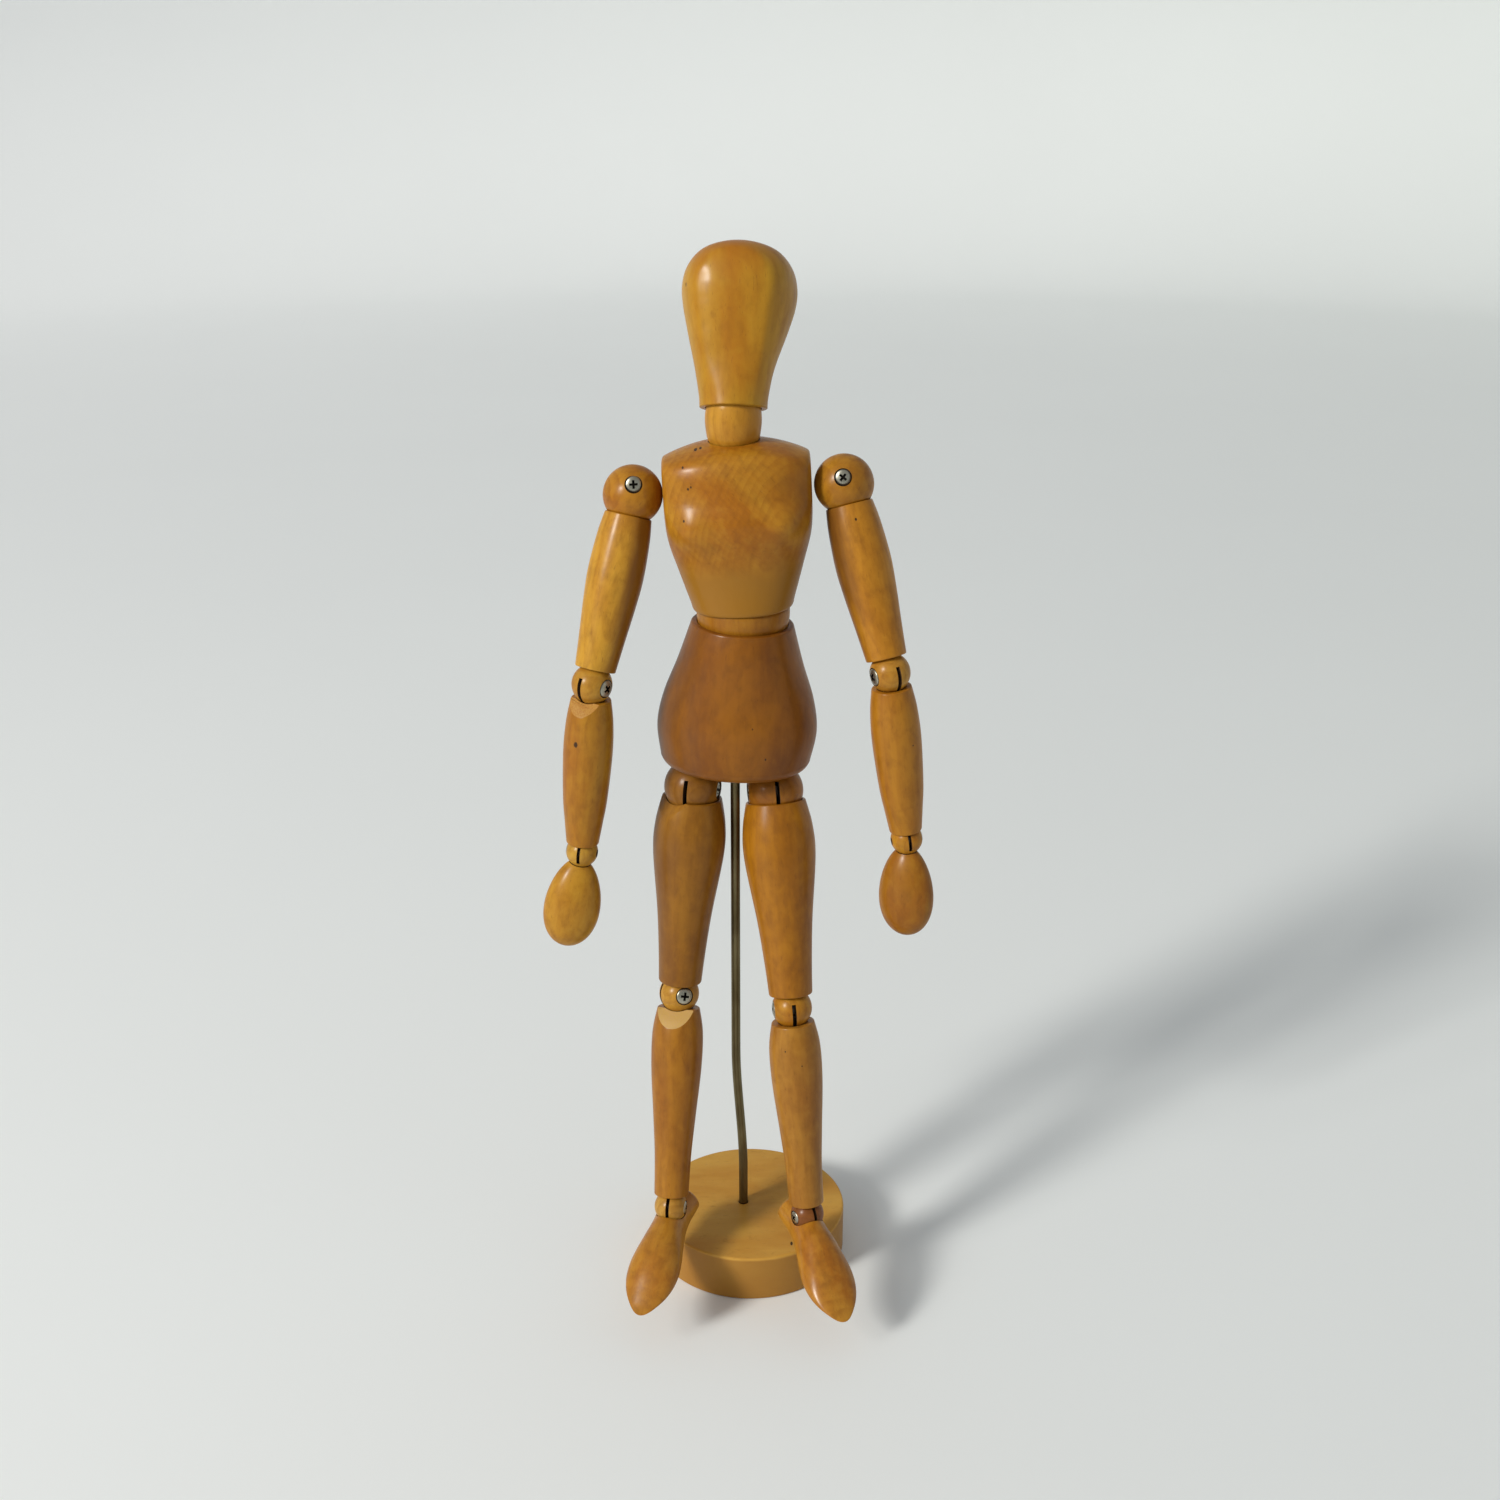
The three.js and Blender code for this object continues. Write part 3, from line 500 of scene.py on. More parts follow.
# The screws' cross recesses are near-black: dirt and painted shade.
RECESS_DIRT_AND_SHADE = steel("screw_recess_dirt_and_shade", (0.03, 0.025, 0.02, 1), (0.012, 0.010, 0.008, 1), 0.75)
TANG_STEEL = steel("tang_steel", (0.22, 0.20, 0.17, 1), (0.10, 0.08, 0.06, 1), 0.5)
SPRING_STEEL = steel("spring_steel", (0.45, 0.44, 0.42, 1), (0.28, 0.26, 0.24, 1), 0.35)
ROD_STEEL = steel("rod_steel", (0.20, 0.165, 0.085, 1), (0.11, 0.085, 0.040, 1), 0.42,
                  scale=(1200, 1200, 60))


def finish_piece(obj, body, slot, material, *nodes):
    """Gives a piece its material and its body, and hides the CAD nodes that it stands for; slot is not used.
    """
    if len(obj.data.materials) == 0:
        obj.data.materials.append(material)
    else:
        obj.data.materials[0] = material
    obj.data.shade_smooth()
    obj.data.set_sharp_from_angle(angle=math.radians(SHARP_ANGLE))
    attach(obj, body)
    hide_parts(*nodes)
    return obj


# ---- the stand ----

ROD_FOOT_X = -2.3           # the rod stands off the base's middle, and so do the base's turning marks
ROD_RADIUS = 1.5
ROD_BEND = (30, 78)         # the heights between which the rod has been bent sideways
ROD_HOLE_DEPTH = 10


def make_base():
    low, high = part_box("base")
    radius = (high[0] - low[0]) / 2 / MM
    height = high[2] / MM
    hole = ROD_RADIUS + 0.15
    profile = [(0, 0)]
    profile += round_corner((0, 0), (radius, 0), (radius, height), 0.9)
    profile += round_corner((radius, 0), (radius, height), (0, height), 0.8, 6)
    profile += round_corner((radius, height), (hole, height), (hole, 0), 0.4)
    profile += [(hole, height - ROD_HOLE_DEPTH), (0, height - ROD_HOLE_DEPTH)]
    foot = Vector((ROD_FOOT_X, 0, 0))

    def off_centre(v):
        """Draws the middle of the turned profile over to the rod's foot."""
        r = math.hypot(v.x, v.y)
        return v + foot * (1 - smoothstep(hole, radius * 0.8, r))

    base = turned("stand_base", profile, Matrix(), 160, off_centre)
    material = wood("base_varnish", 3, light=(0.59, 0.325, 0.058, 1), dark=(0.50, 0.235, 0.034, 1),
                    pith=(10, -70, -40), tilt=(0, 84, 8), rings=0.06, spacing=3.4, gloss=0.2, streaks=0.15,
                    grain_tilt=(0, 88, 6),
                    # The side below the top's edge is darkened: painted shade.
                    stains_and_painted_light=(((0, 0, -1), -height + 0.4, (0.32, 0.145, 0.024, 1), 0.8),),
                    pits=((14, -24, height, 0.5), (11, -8, height, 0.4)))
    return finish_piece(base, "stand", "base_wood", material, "base")


def make_rod():
    low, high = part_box("stand_rod")
    top_x = joint_at("figure_turn").x / MM
    heights = [low[2] / MM, high[2] / MM]
    steps = 24
    bend = [ROD_BEND[0] + (ROD_BEND[1] - ROD_BEND[0]) * k / steps for k in range(steps + 1)]
    path = []
    for z in [heights[0], 20] + bend + [120, 160, heights[1]]:
        lean = smoothstep(*ROD_BEND, z)
        path.append(Vector((ROD_FOOT_X + (top_x - ROD_FOOT_X) * lean, 0, z)))
    around = 32
    verts = [p + v for p in path for v in ring(ROD_RADIUS, 0, around)]
    faces = ring_faces(len(path), around) + end_faces(len(path), around)
    rod = make_object("stand_rod_fine", verts, faces, Matrix())
    return finish_piece(rod, "stand", "steel_rod", ROD_STEEL, "stand_rod")


# ---- the trunk ----

HIP_OUT = 13
HIP_DOWN = 8.3              # from the pelvis's underside down to the hip balls' centres
PELVIS_HEIGHT = 47
PELVIS_RIM = 15.7
PELVIS_FLATTER = 0.22       # how much of its depth the pelvis loses towards its foot
PELVIS_SAG = 1.2            # how far its underside bulges down in the middle
WAIST_RADIUS = 14.3
WAIST_BAND = 1.8
CAP_RADIUS = 17
SHOULDER_UP = 35.7          # from the chest's lower rim up to the shoulder balls' centres
SHOULDER_MIDDLE = 0.45      # how far to the left of the chest's middle the shoulders' middle lies
CHEST_HEIGHT = 51.2
CHEST_FLATS = (22.3, 21.8)  # how far out the chest's left and right sides are planed flat
NECK_RADIUS = 8.2
NECK_LENGTH = 5
HEAD_TILT = (-18, -4, -16)  # lean, roll and turn in degrees
HEAD_RIM = 0.9              # the head's rim above the neck's upper ball centre


def pelvis_frame():
    left = joint_at("left_hip_swing")
    right = joint_at("right_hip_swing")
    up = joint_line("left_hip_turn", UP)
    middle = (left + right) / 2
    return placed(middle + up * HIP_DOWN * MM, up)


def make_pelvis():
    place = pelvis_frame()
    flank = spline([(23.5, 3), (25, 13), (23.4, 23), (19.4, 34.6), (PELVIS_RIM, PELVIS_HEIGHT)], 12)
    seat = (place.inverted() @ joint_at("waist_bow")) / MM
    dish = WAIST_RADIUS + CUP_GAP
    lip = -math.degrees(math.asin((seat.z - PELVIS_HEIGHT) / dish))
    profile = [(0, 0), (8, 0)]
    profile += round_corner((0, 0), (22.6, 0), (23.5, 3), 3.4, 10)
    profile += flank[:-1]
    inner = (dish * math.cos(math.radians(lip)), PELVIS_HEIGHT)
    profile += round_corner(flank[-2], (PELVIS_RIM, PELVIS_HEIGHT), inner, 0.6)
    profile += arc(dish, seat.z, lip, -90, 30)

    def hips(v):
        flat = 1 - PELVIS_FLATTER * smoothstep(0, 26, PELVIS_HEIGHT - v.z)
        sag = PELVIS_SAG * (1 - smoothstep(0, 24, math.hypot(v.x, v.y))) * (1 - smoothstep(0, 3, v.z))
        return Vector((v.x, v.y * flat, v.z - sag))

    pelvis = turned("pelvis_wood", profile, place, 128, hips)
    material = wood("pelvis_varnish", 5, light=(0.275, 0.094, 0.004, 1), dark=(0.185, 0.055, 0.003, 1),
                    pith=(-8, 40, 0), tilt=(6, 4, 0), rings=0.3, spacing=3.6,
                    stains_and_painted_light=(((-0.045, 0.01, 0.0), 0.35, (0.12, 0.058, 0.024, 1), 0.6),),
                    pits=((4.5, -19.2, 19, 0.35), (5.6, -17.9, 28, 0.3), (-4, -19.5, 9, 0.3),
                          (9, -18, 9, 0.3), (3.5, -14.8, 43, 0.45)))
    pelvis.data.materials.append(material)
    # The sockets' faces take the near-black painted shade.
    sockets = [ball_cutter(BALL["hip"] + CUP_GAP, (side * HIP_OUT, 0, -HIP_DOWN), CUP_AND_SLOT_SHADE)
               for side in (-1, 1)]
    cut(pelvis, *sockets)
    return finish_piece(pelvis, "pelvis", "pelvis_wood", material, "pelvis")


def make_waist():
    place = Matrix.Translation(joint_at("waist_bow"))
    edge = math.degrees(math.asin(WAIST_RADIUS / CAP_RADIUS))
    drop = WAIST_BAND - CAP_RADIUS * math.cos(math.radians(edge))
    profile = arc(WAIST_RADIUS, 0, -90, 0, 30)
    profile += round_corner((WAIST_RADIUS, 0), (WAIST_RADIUS, WAIST_BAND),
                            (WAIST_RADIUS - 2, WAIST_BAND + 2), 0.5)
    profile += arc(CAP_RADIUS, drop, 90 - edge + 2, 90, 24)
    waist = turned("waist_wood", profile, place)
    material = wood("waist_varnish", 8, light=(0.37, 0.160, 0.010, 1), dark=(0.29, 0.095, 0.004, 1),
                    pith=(30, -38, 0), rings=0.3)
    return finish_piece(waist, "waist", "varnished_wood", material, "waist")


# The chest's half width and half depths in front and behind, against the height above its lower rim.
CHEST_WIDTH = [(0, 15.4), (8, 17.6), (14, 19.4), (20, 21.2), (26, 22.9), (33, 24.2), (46, 24.6), (52, 24.6)]
CHEST_FRONT = [(0, 15.0), (7, 14.5), (13, 14.6), (17, 15.6), (21, 17.2), (25, 18.6), (29, 19.0), (32, 18.4),
               (35, 17.3), (39, 16.5), (44, 16.0), (48, 15.3), (52, 14.2)]
CHEST_BACK = [(0, 15.2), (10, 15.4), (24, 16.0), (38, 15.6), (46, 14.2), (52, 12.5)]
# The two low swellings of the breast: where they lie, how far they rise and how fast they fade.
BREAST = {"out": 16.0, "up": 27.0, "rise": 2.6, "across": 6.2, "above": 6.0, "below": 5.5}
CHEST_TOP_BALL = 50         # the radius of the domed top
CHEST_SHOULDER = 40         # where the wall starts to close over the top
CHEST_SQUARE = 0.8          # how square the chest's section is; 1 would be an oval


def chest_frame():
    left = joint_at("left_shoulder_raise")
    right = joint_at("right_shoulder_raise")
    across = (left - right).normalized()
    up = across.cross(Vector((0, 1, 0)))
    return placed((left + right) / 2 - (up * SHOULDER_UP + across * SHOULDER_MIDDLE) * MM, up)


def chest_point(height, share, angle):
    """A point of the chest's skin; share is 1 on the wall and falls to 0 at the middle of the top."""
    x = share * value_at(CHEST_WIDTH, height) * math.cos(angle)
    front = math.sin(angle) < 0
    depth = value_at(CHEST_FRONT if front else CHEST_BACK, height)
    y = share * depth * squared(math.sin(angle), CHEST_SQUARE)
    if front:
        tall = BREAST["above"] if height > BREAST["up"] else BREAST["below"]
        for side in (-1, 1):
            away = ((x - side * BREAST["out"]) / BREAST["across"]) ** 2
            away += ((height - BREAST["up"]) / tall) ** 2
            y -= BREAST["rise"] * math.exp(-away) * share * abs(math.sin(angle))
    x = soft_min(x, CHEST_FLATS[0], 1.6)
    x = -soft_min(-x, CHEST_FLATS[1], 1.6)
    dome = CHEST_HEIGHT - CHEST_TOP_BALL + math.sqrt(CHEST_TOP_BALL ** 2 - x * x - 1.6 * y * y)
    return Vector((x, y, soft_min(height, dome, 1.8)))


def make_chest():
    place = chest_frame()
    around = 160
    wall = [CHEST_SHOULDER * k / 48 for k in range(2, 49)]
    rows = [(z, 1.0) for z in [0.0, 0.15, 0.45, 0.9] + wall]
    for k in range(1, 41):
        a = math.radians(90 * k / 40)
        share = math.cos(a) ** 0.55 if k < 40 else 0
        rows.append((CHEST_SHOULDER + (CHEST_HEIGHT + 2 - CHEST_SHOULDER) * math.sin(a), share))
    sanded = {0.0: 0.965, 0.15: 0.982, 0.45: 0.994}     # the lower rim's softened edge, by height
    verts = [chest_point(z, share * sanded.get(z, 1.0), 2 * math.pi * k / around)
             for z, share in rows for k in range(around)]
    faces = ring_faces(len(rows), around)
    faces.append(tuple(range(around)))
    chest = make_object("chest_wood", verts, faces, place)
    material = wood("chest_varnish", 11, pith=(16, -12, 24), tilt=(0, 20, 0), stretch=(1, 2.2, 2.6),
                    spacing=2.0, rings=0.34, ball_rings=True, grain_tilt=(0, 42, 0),
                    # The right side is darkened as painted shade; the second tint darkens the chest towards
                    # its lower rim.
                    stains_and_painted_light=(((0.03, 0.0, 0.0), 0.35, (0.20, 0.085, 0.006, 1), 0.4),
                            ((0, 0, -0.1), -1.7, (0.30, 0.130, 0.010, 1), 1.0)),
                    pits=((-11.3, -5.2, 49.4, 0.6), (-9.8, -5.0, 49.6, 0.5),
                          (-15.1, -11.6, 45.7, 0.34), (-13.9, -14.0, 39.8, 0.34),
                          (-13.0, -14.3, 40.4, 0.28), (-15.6, -16.1, 30.9, 0.36)))
    chest.data.materials.append(material)
    cap = (place.inverted() @ joint_at("chest_lean")) / MM
    neck = (place.inverted() @ joint_at("neck_lean")) / MM
    # The cups' faces take the near-black painted shade.
    cut(chest, ball_cutter(CAP_RADIUS + CUP_GAP, cap, CUP_AND_SLOT_SHADE),
        ball_cutter(NECK_RADIUS + CUP_GAP, neck, CUP_AND_SLOT_SHADE))
    return finish_piece(chest, "chest", "varnished_wood", material, "chest")


def make_neck():
    place = Matrix.Translation(joint_at("neck_lean"))
    lower = arc(NECK_RADIUS, 0, -90, -16, 24)
    upper = arc(NECK_RADIUS, NECK_LENGTH, 14, 90, 24)
    barrel = spline([lower[-1], (NECK_RADIUS + 0.15, 1.2), (NECK_RADIUS + 0.15, 4.2), upper[0]], 6)
    neck = turned("neck_wood", lower[:-1] + barrel + upper[1:], place)
    material = wood("neck_varnish", 14, light=(0.53, 0.26, 0.025, 1), dark=(0.42, 0.165, 0.008, 1),
                    pith=(20, -32, 0), rings=0.35)
    return finish_piece(neck, "neck", "varnished_wood", material, "neck")


HEAD_OUTLINE = [(10.0, 0), (10.3, 4), (11.8, 12), (14.5, 22), (16.4, 30), (16.8, 35.8), (15.4, 41.2),
                (11.7, 45.8), (6, 48.3), (0, 49.1)]
CROWN = (0.14, 4.0)         # the crown's extra depth, as a share, and how far back it is set
FACE_TURN = 13              # which way the face looks, in degrees from the head's own front
FACE_TOP = 37               # above this height the face is planed no further
FACE_SHARE = 0.72           # how far forward the planed face lies, as a share of the unplaned head
FACE_BULGE = 0.42           # how much of what stood in front of that is left, so that the face is not flat
# The smaller flat cut beside the face: its turn, its share, its own crown and where it starts.
CHEEK_TURN = -9
CHEEK_SHARE = 0.93
CHEEK_CROWN = (0.135, 3.95)
CHEEK_FADE = (14, 25)


def make_head():
    lean, roll, turn = (math.radians(a) for a in HEAD_TILT)
    tilt = Matrix.Rotation(turn, 4, "Z") @ Matrix.Rotation(roll, 4, "Y") @ Matrix.Rotation(lean, 4, "X")
    place = Matrix.Translation(joint_at("head_nod")) @ tilt
    outline = [(max(r, 0), z + HEAD_RIM) for r, z in spline(HEAD_OUTLINE, 10)]
    start = (NECK_RADIUS + CUP_GAP, HEAD_RIM)
    profile = [(0, HEAD_RIM), start]
    profile += round_corner(start, outline[0], outline[1], 0.5)
    profile += outline[1:]

    radii = [(z + HEAD_RIM, r) for r, z in HEAD_OUTLINE[:-2]]
    face_way, cheek_way = (Vector((math.sin(a), -math.cos(a), 0))
                           for a in (math.radians(FACE_TURN), math.radians(CHEEK_TURN)))

    def crown_at(z):
        return smoothstep(8, 34, z)

    def face_limit(z):
        """How far forward the face may reach at this height."""
        level = min(z, FACE_TOP)
        deeper, back = (part * crown_at(level) for part in CROWN)
        return FACE_SHARE * (value_at(radii, level) * (1 + deeper) - back)

    def cheek_limit(z):
        """How far out the cut beside the face may reach at this height."""
        level = min(z, FACE_TOP)
        deeper, back = (part * crown_at(level) for part in CHEEK_CROWN)
        return CHEEK_SHARE * value_at(radii, level) * (1 + deeper) - back

    def skull(v):
        deeper, back = (part * crown_at(v.z) for part in CROWN)
        shaped = Vector((v.x, v.y * (1 + deeper) + back, v.z))
        forward = shaped.dot(face_way)
        limit = face_limit(v.z)
        planed = soft_min(forward, limit + FACE_BULGE * (forward - limit), 0.5)
        shaped += face_way * (planed - forward) * smoothstep(HEAD_RIM, HEAD_RIM + 16, v.z)
        forward = shaped.dot(cheek_way)
        planed = soft_min(forward, cheek_limit(v.z), 0.3)
        return shaped + cheek_way * (planed - forward) * smoothstep(*CHEEK_FADE, v.z)

    head = turned("head_wood", profile, place, 128, skull)
    material = wood("head_varnish", 17, light=(0.47, 0.245, 0.016, 1), dark=(0.39, 0.150, 0.006, 1),
                    pith=(10, 46, 0), tilt=(8, 4, 0), rings=0.25, spacing=4.0, streaks=0.6,
                    # The right side is darkened as painted shade and the left side lightened as painted
                    # light; the top turns a darker amber.
                    stains_and_painted_light=(((0.035, 0.0, 0.0), 0.30, (0.20, 0.105, 0.006, 1), 0.5),
                            ((0, 0, 0.06), 2.2, (0.36, 0.115, 0.004, 1), 0.7),
                            ((-0.08, 0, 0), 0.75, (0.52, 0.305, 0.040, 1), 0.8)),
                    pits=((-12.6, -10.4, 35.5, 0.8), (-12.9, -10.0, 38, 0.6)))
    head.data.materials.append(material)
    # The neck cup's face takes the near-black painted shade.
    cut(head, ball_cutter(NECK_RADIUS + CUP_GAP, (0, 0, 0), CUP_AND_SLOT_SHADE))
    return finish_piece(head, "head", "varnished_wood", material, "head")


# ---- joint balls and screws ----

def make_joint(side, name):
    """A slotted ball and its screw. In their frame the screw's head is at +Z and the tang at -X."""
    body, hinge = f"{side}_{name}", hinge_of(side, name)
    radius, head = BALL[name], SCREW_HEAD[name]
    centre = joint_at(hinge)
    line = joint_line(hinge, centre_of(f"{body}_screw") - centre)
    tang = centre_of(f"{body}_tang") - centre
    tang = (tang - line * tang.dot(line)).normalized()
    turn = Matrix((-tang, line.cross(-tang), line)).transposed().to_4x4()
    place = Matrix.Translation(centre) @ turn

    seat = radius * HEAD_SEAT
    hole = head + 0.3
    ball = turned(f"{body}_ball_fine", arc(radius, 0, -90, 90, 60), place)
    seed = 20 + 3 * list(BALL).index(name) + (1 if side == "left" else 0)
    tilt = (90, 15 + seed * 2, 0)
    light, dark = BALL_TONES.get(body, (HONEY, AMBER))
    material = wood(f"{body}_ball_varnish", seed, light=light, dark=dark, pith=(6, 9, 0), tilt=tilt,
                    grain_tilt=tilt, spacing=2.2, rings=0.5)
    ball.data.materials.append(material)
    slot_end = radius * SLOT_END
    reach = 2 * radius
    # The slot's and the screw holes' faces take the near-black painted shade.
    slot = box_cutter((reach + slot_end, 4 * radius, SLOT[name]), ((slot_end - reach) / 2, 0, 0), CUP_AND_SLOT_SHADE)
    drilled = Matrix.Translation(Vector((SCREW_OFF.get(body, 0), 0, 0)) * MM)
    cut(ball, slot, rod_cutter(hole, seat, 2 * radius, drilled, CUP_AND_SLOT_SHADE),
        rod_cutter(TIP_HOLE, -2 * radius, -0.85 * radius, drilled, CUP_AND_SLOT_SHADE))
    finish_piece(ball, body, "varnished_wood", material, f"{body}_ball")

    rise = head * DOME
    dome = [(0, -0.2), (head - 0.15, -0.2), (head, 0.0), (head, rise * 0.22)]
    dome += [(head * math.cos(a), rise * (0.22 + 0.78 * math.sin(a)))
             for a in (math.radians(90 * k / 14) for k in range(1, 15))]
    foot = seat + SCREW_PROUD
    screw = turned(f"{body}_screw_fine", [(r, z + foot) for r, z in dome], place @ drilled, 64)
    screw.data.materials.append(NICKEL)
    spin = 8 + 37 * (seed % 5)
    for quarter in (0, 90):
        # The cross recess is lined with near-black dirt and painted shade.
        bar = box_cutter((2 * head * RECESS_ARM, head * RECESS_WIDTH, 2.4), (0, 0, 0), RECESS_DIRT_AND_SHADE)
        for v in bar.data.vertices:
            if v.co.z < 0:
                v.co.x *= 0.6
                v.co.z = -head * RECESS_DEPTH * MM
        bar.matrix_world = Matrix.Translation((0, 0, (foot + rise) * MM)) @ about_z(spin + quarter)
        cut(screw, bar)
    finish_piece(screw, body, "bright_steel", NICKEL, f"{body}_screw")


BALL_TONES = {
    "left_shoulder": ((0.41, 0.180, 0.012, 1), (0.31, 0.115, 0.006, 1)),
    "right_elbow": ((0.50, 0.275, 0.034, 1), (0.41, 0.180, 0.014, 1)),
    "left_elbow": ((0.48, 0.245, 0.030, 1), (0.39, 0.160, 0.012, 1)),
    "right_wrist": ((0.50, 0.275, 0.034, 1), (0.41, 0.180, 0.014, 1)),
    "right_knee": ((0.48, 0.240, 0.026, 1), (0.38, 0.155, 0.012, 1)),
    "right_hip": ((0.30, 0.130, 0.014, 1), (0.20, 0.074, 0.006, 1)),
    "left_hip": ((0.33, 0.124, 0.010, 1), (0.22, 0.070, 0.005, 1)),
    "right_ankle": ((0.50, 0.270, 0.045, 1), (0.40, 0.180, 0.020, 1)),
    "left_ankle": ((0.24, 0.080, 0.014, 1), (0.16, 0.046, 0.007, 1)),
}


# ---- limbs ----

LIMB_LOOKS = {
    "right_upper_arm": {"light": (0.58, 0.300, 0.030, 1), "dark": (0.42, 0.172, 0.010, 1),
                        # Its right side is darkened as painted shade, and its light tone is raised as painted
                        # light for the lit left side.
                        "stains_and_painted_light": (((0.14, 0.0, 0), 0.15, (0.20, 0.070, 0.006, 1), 0.8),)},
    "left_upper_arm": {"light": (0.50, 0.215, 0.014, 1), "dark": (0.36, 0.13, 0.006, 1),
                       # The inner side, towards the chest, is darkened most near the shoulder: the chest's
                       # painted shadow.
                       "stains_and_painted_light": (((-0.14, 0.0, 0.012), 0.05, (0.12, 0.042, 0.006, 1), 0.85),),
                       "pits": ((1.0, -8.0, -11.0, 0.4),)},
    "right_forearm": {"light": (0.41, 0.185, 0.012, 1), "dark": (0.33, 0.115, 0.004, 1),
                      "pits": ((-3.4, -6.6, -17.5, 0.75),)},
    "left_forearm": {"light": (0.40, 0.165, 0.010, 1), "dark": (0.31, 0.100, 0.004, 1),
                     "pits": ((4.5, -6.0, -22, 0.25),)},
    "right_thigh": {"light": (0.32, 0.135, 0.008, 1), "dark": (0.22, 0.080, 0.004, 1),
                    "stains_and_painted_light": (((-0.085, 0.0, 0), 0.2, (0.15, 0.062, 0.014, 1), 0.6),)},
    "left_thigh": {"light": (0.41, 0.163, 0.006, 1), "dark": (0.28, 0.098, 0.003, 1)},
    "right_shin": {"light": (0.38, 0.155, 0.010, 1), "dark": (0.27, 0.092, 0.005, 1)},
    "left_shin": {"light": (0.40, 0.180, 0.020, 1), "dark": (0.29, 0.110, 0.010, 1),
                  "pits": ((-3, -7.4, -12, 0.25), (2, -8, -17, 0.25), (4, -7.4, -10, 0.22))},
}


# The bevels' wood: a thigh's was cut before it was varnished.
SCOOP_WOOD = {"forearm": OLD_CUT, "thigh": None, "shin": BARE_CUT}


def cup(radius, rim_depth, steps=20):
    """A cup's arc, from its middle to its inner edge, about a ball centred at height 0."""
    return arc(radius, 0, -90, -math.degrees(math.asin(rim_depth / radius)), steps)


def make_limb(side, limb):
    name = f"{side}_{limb}"
    top, bottom = (joint_at(hinge_of(side, end)) for end in LIMB_ENDS[limb])
    place = placed(top, top - bottom)
    length = (top - bottom).length / MM
    upper, lower = (BALL[end] + CUP_GAP for end in LIMB_ENDS[limb])
    outline = [(r, -z) for r, z in spline(LIMBS[limb], 12)]
    top_rim = -outline[0][1]
    low_rim = length + outline[-1][1]
    inner_top = cup(upper, top_rim)
    inner_low = [(r, -length - z) for r, z in cup(lower, low_rim)]
    profile = inner_top[:-1]
    profile += round_corner(inner_top[-2], inner_top[-1], outline[0], 0.15, 3)
    profile += round_corner(inner_top[-1], outline[0], outline[2], EDGE)
    profile += outline[1:-1]
    profile += round_corner(outline[-3], outline[-1], inner_low[-1], EDGE)
    profile += round_corner(outline[-1], inner_low[-1], inner_low[-2], 0.15, 3)
    profile += inner_low[:-1][::-1]
    piece = turned(f"{name}_wood", profile, place)
    seed = 50 + 4 * list(LIMBS).index(limb) + (2 if side == "left" else 0)
    material = wood(f"{name}_varnish", seed, pith=(18 + seed % 7, -30 + seed % 5, 0), rings=0.28,
                    **LIMB_LOOKS[name])
    piece.data.materials.append(material)
    if name in SCOOPS:
        cut(piece, scoop_cutter(outline[0][0], top_rim, *SCOOPS[name], SCOOP_WOOD[limb]))
    return finish_piece(piece, name, "varnished_wood", material, name)


def scoop_cutter(rim_radius, rim_depth, facing, depth, inset, material):
    """A flat cut that bevels a limb's upper rim on one side."""
    slope = math.atan2(depth, rim_radius - inset)
    cutter = box_cutter((40, 30, 30), (0, 0, 15), material)
    cutter.matrix_world = (about_z(facing) @ Matrix.Translation(Vector((0, -inset, -rim_depth)) * MM)
                           @ Matrix.Rotation(slope, 4, "X"))
    return cutter


HAND_TONES = {
    "right": ((0.50, 0.260, 0.022, 1), (0.42, 0.180, 0.010, 1)),
    "left": ((0.37, 0.170, 0.012, 1), (0.28, 0.095, 0.004, 1)),
}
HAND = {"length": 30, "top": 2.4, "half_width": 8.8, "half_thickness": 6.2}
HAND_TURN = {"right": 5, "left": -25}       # how far each palm is turned about the hand's length
HAND_TAPER = 0.14           # how much narrower the hand is at its wrist than at its middle


def make_hand(side):
    wrist = joint_at(f"{side}_wrist_bend")
    up = joint_line(f"{side}_hand_turn", UP)
    place = placed(wrist, up) @ about_z(HAND_TURN[side])
    length, top = HAND["length"], HAND["top"]
    profile = [(math.cos(a), math.sin(a)) for a in (math.radians(-90 + 180 * k / 60) for k in range(61))]

    def palm(v):
        full = 1 - HAND_TAPER * v.z
        return Vector((v.x * HAND["half_width"] * full, v.y * HAND["half_thickness"] * full,
                       v.z * length / 2 - length / 2 - top))

    hand = turned(f"{side}_hand_wood", profile, place, AROUND, palm)
    seed = 71 if side == "left" else 74
    light, dark = HAND_TONES[side]
    material = wood(f"{side}_hand_varnish", seed, light=light, dark=dark, pith=(3, 14, -18),
                    tilt=(10, 6, 0), stretch=(1, 1, 2.2), spacing=2.6, rings=0.45, ball_rings=True)
    hand.data.materials.append(material)
    # The wrist cup's face takes the near-black painted shade.
    cut(hand, ball_cutter(BALL["wrist"] + CUP_GAP, (0, 0, 0), CUP_AND_SLOT_SHADE))
    return finish_piece(hand, f"{side}_hand", "varnished_wood", material, f"{side}_hand")


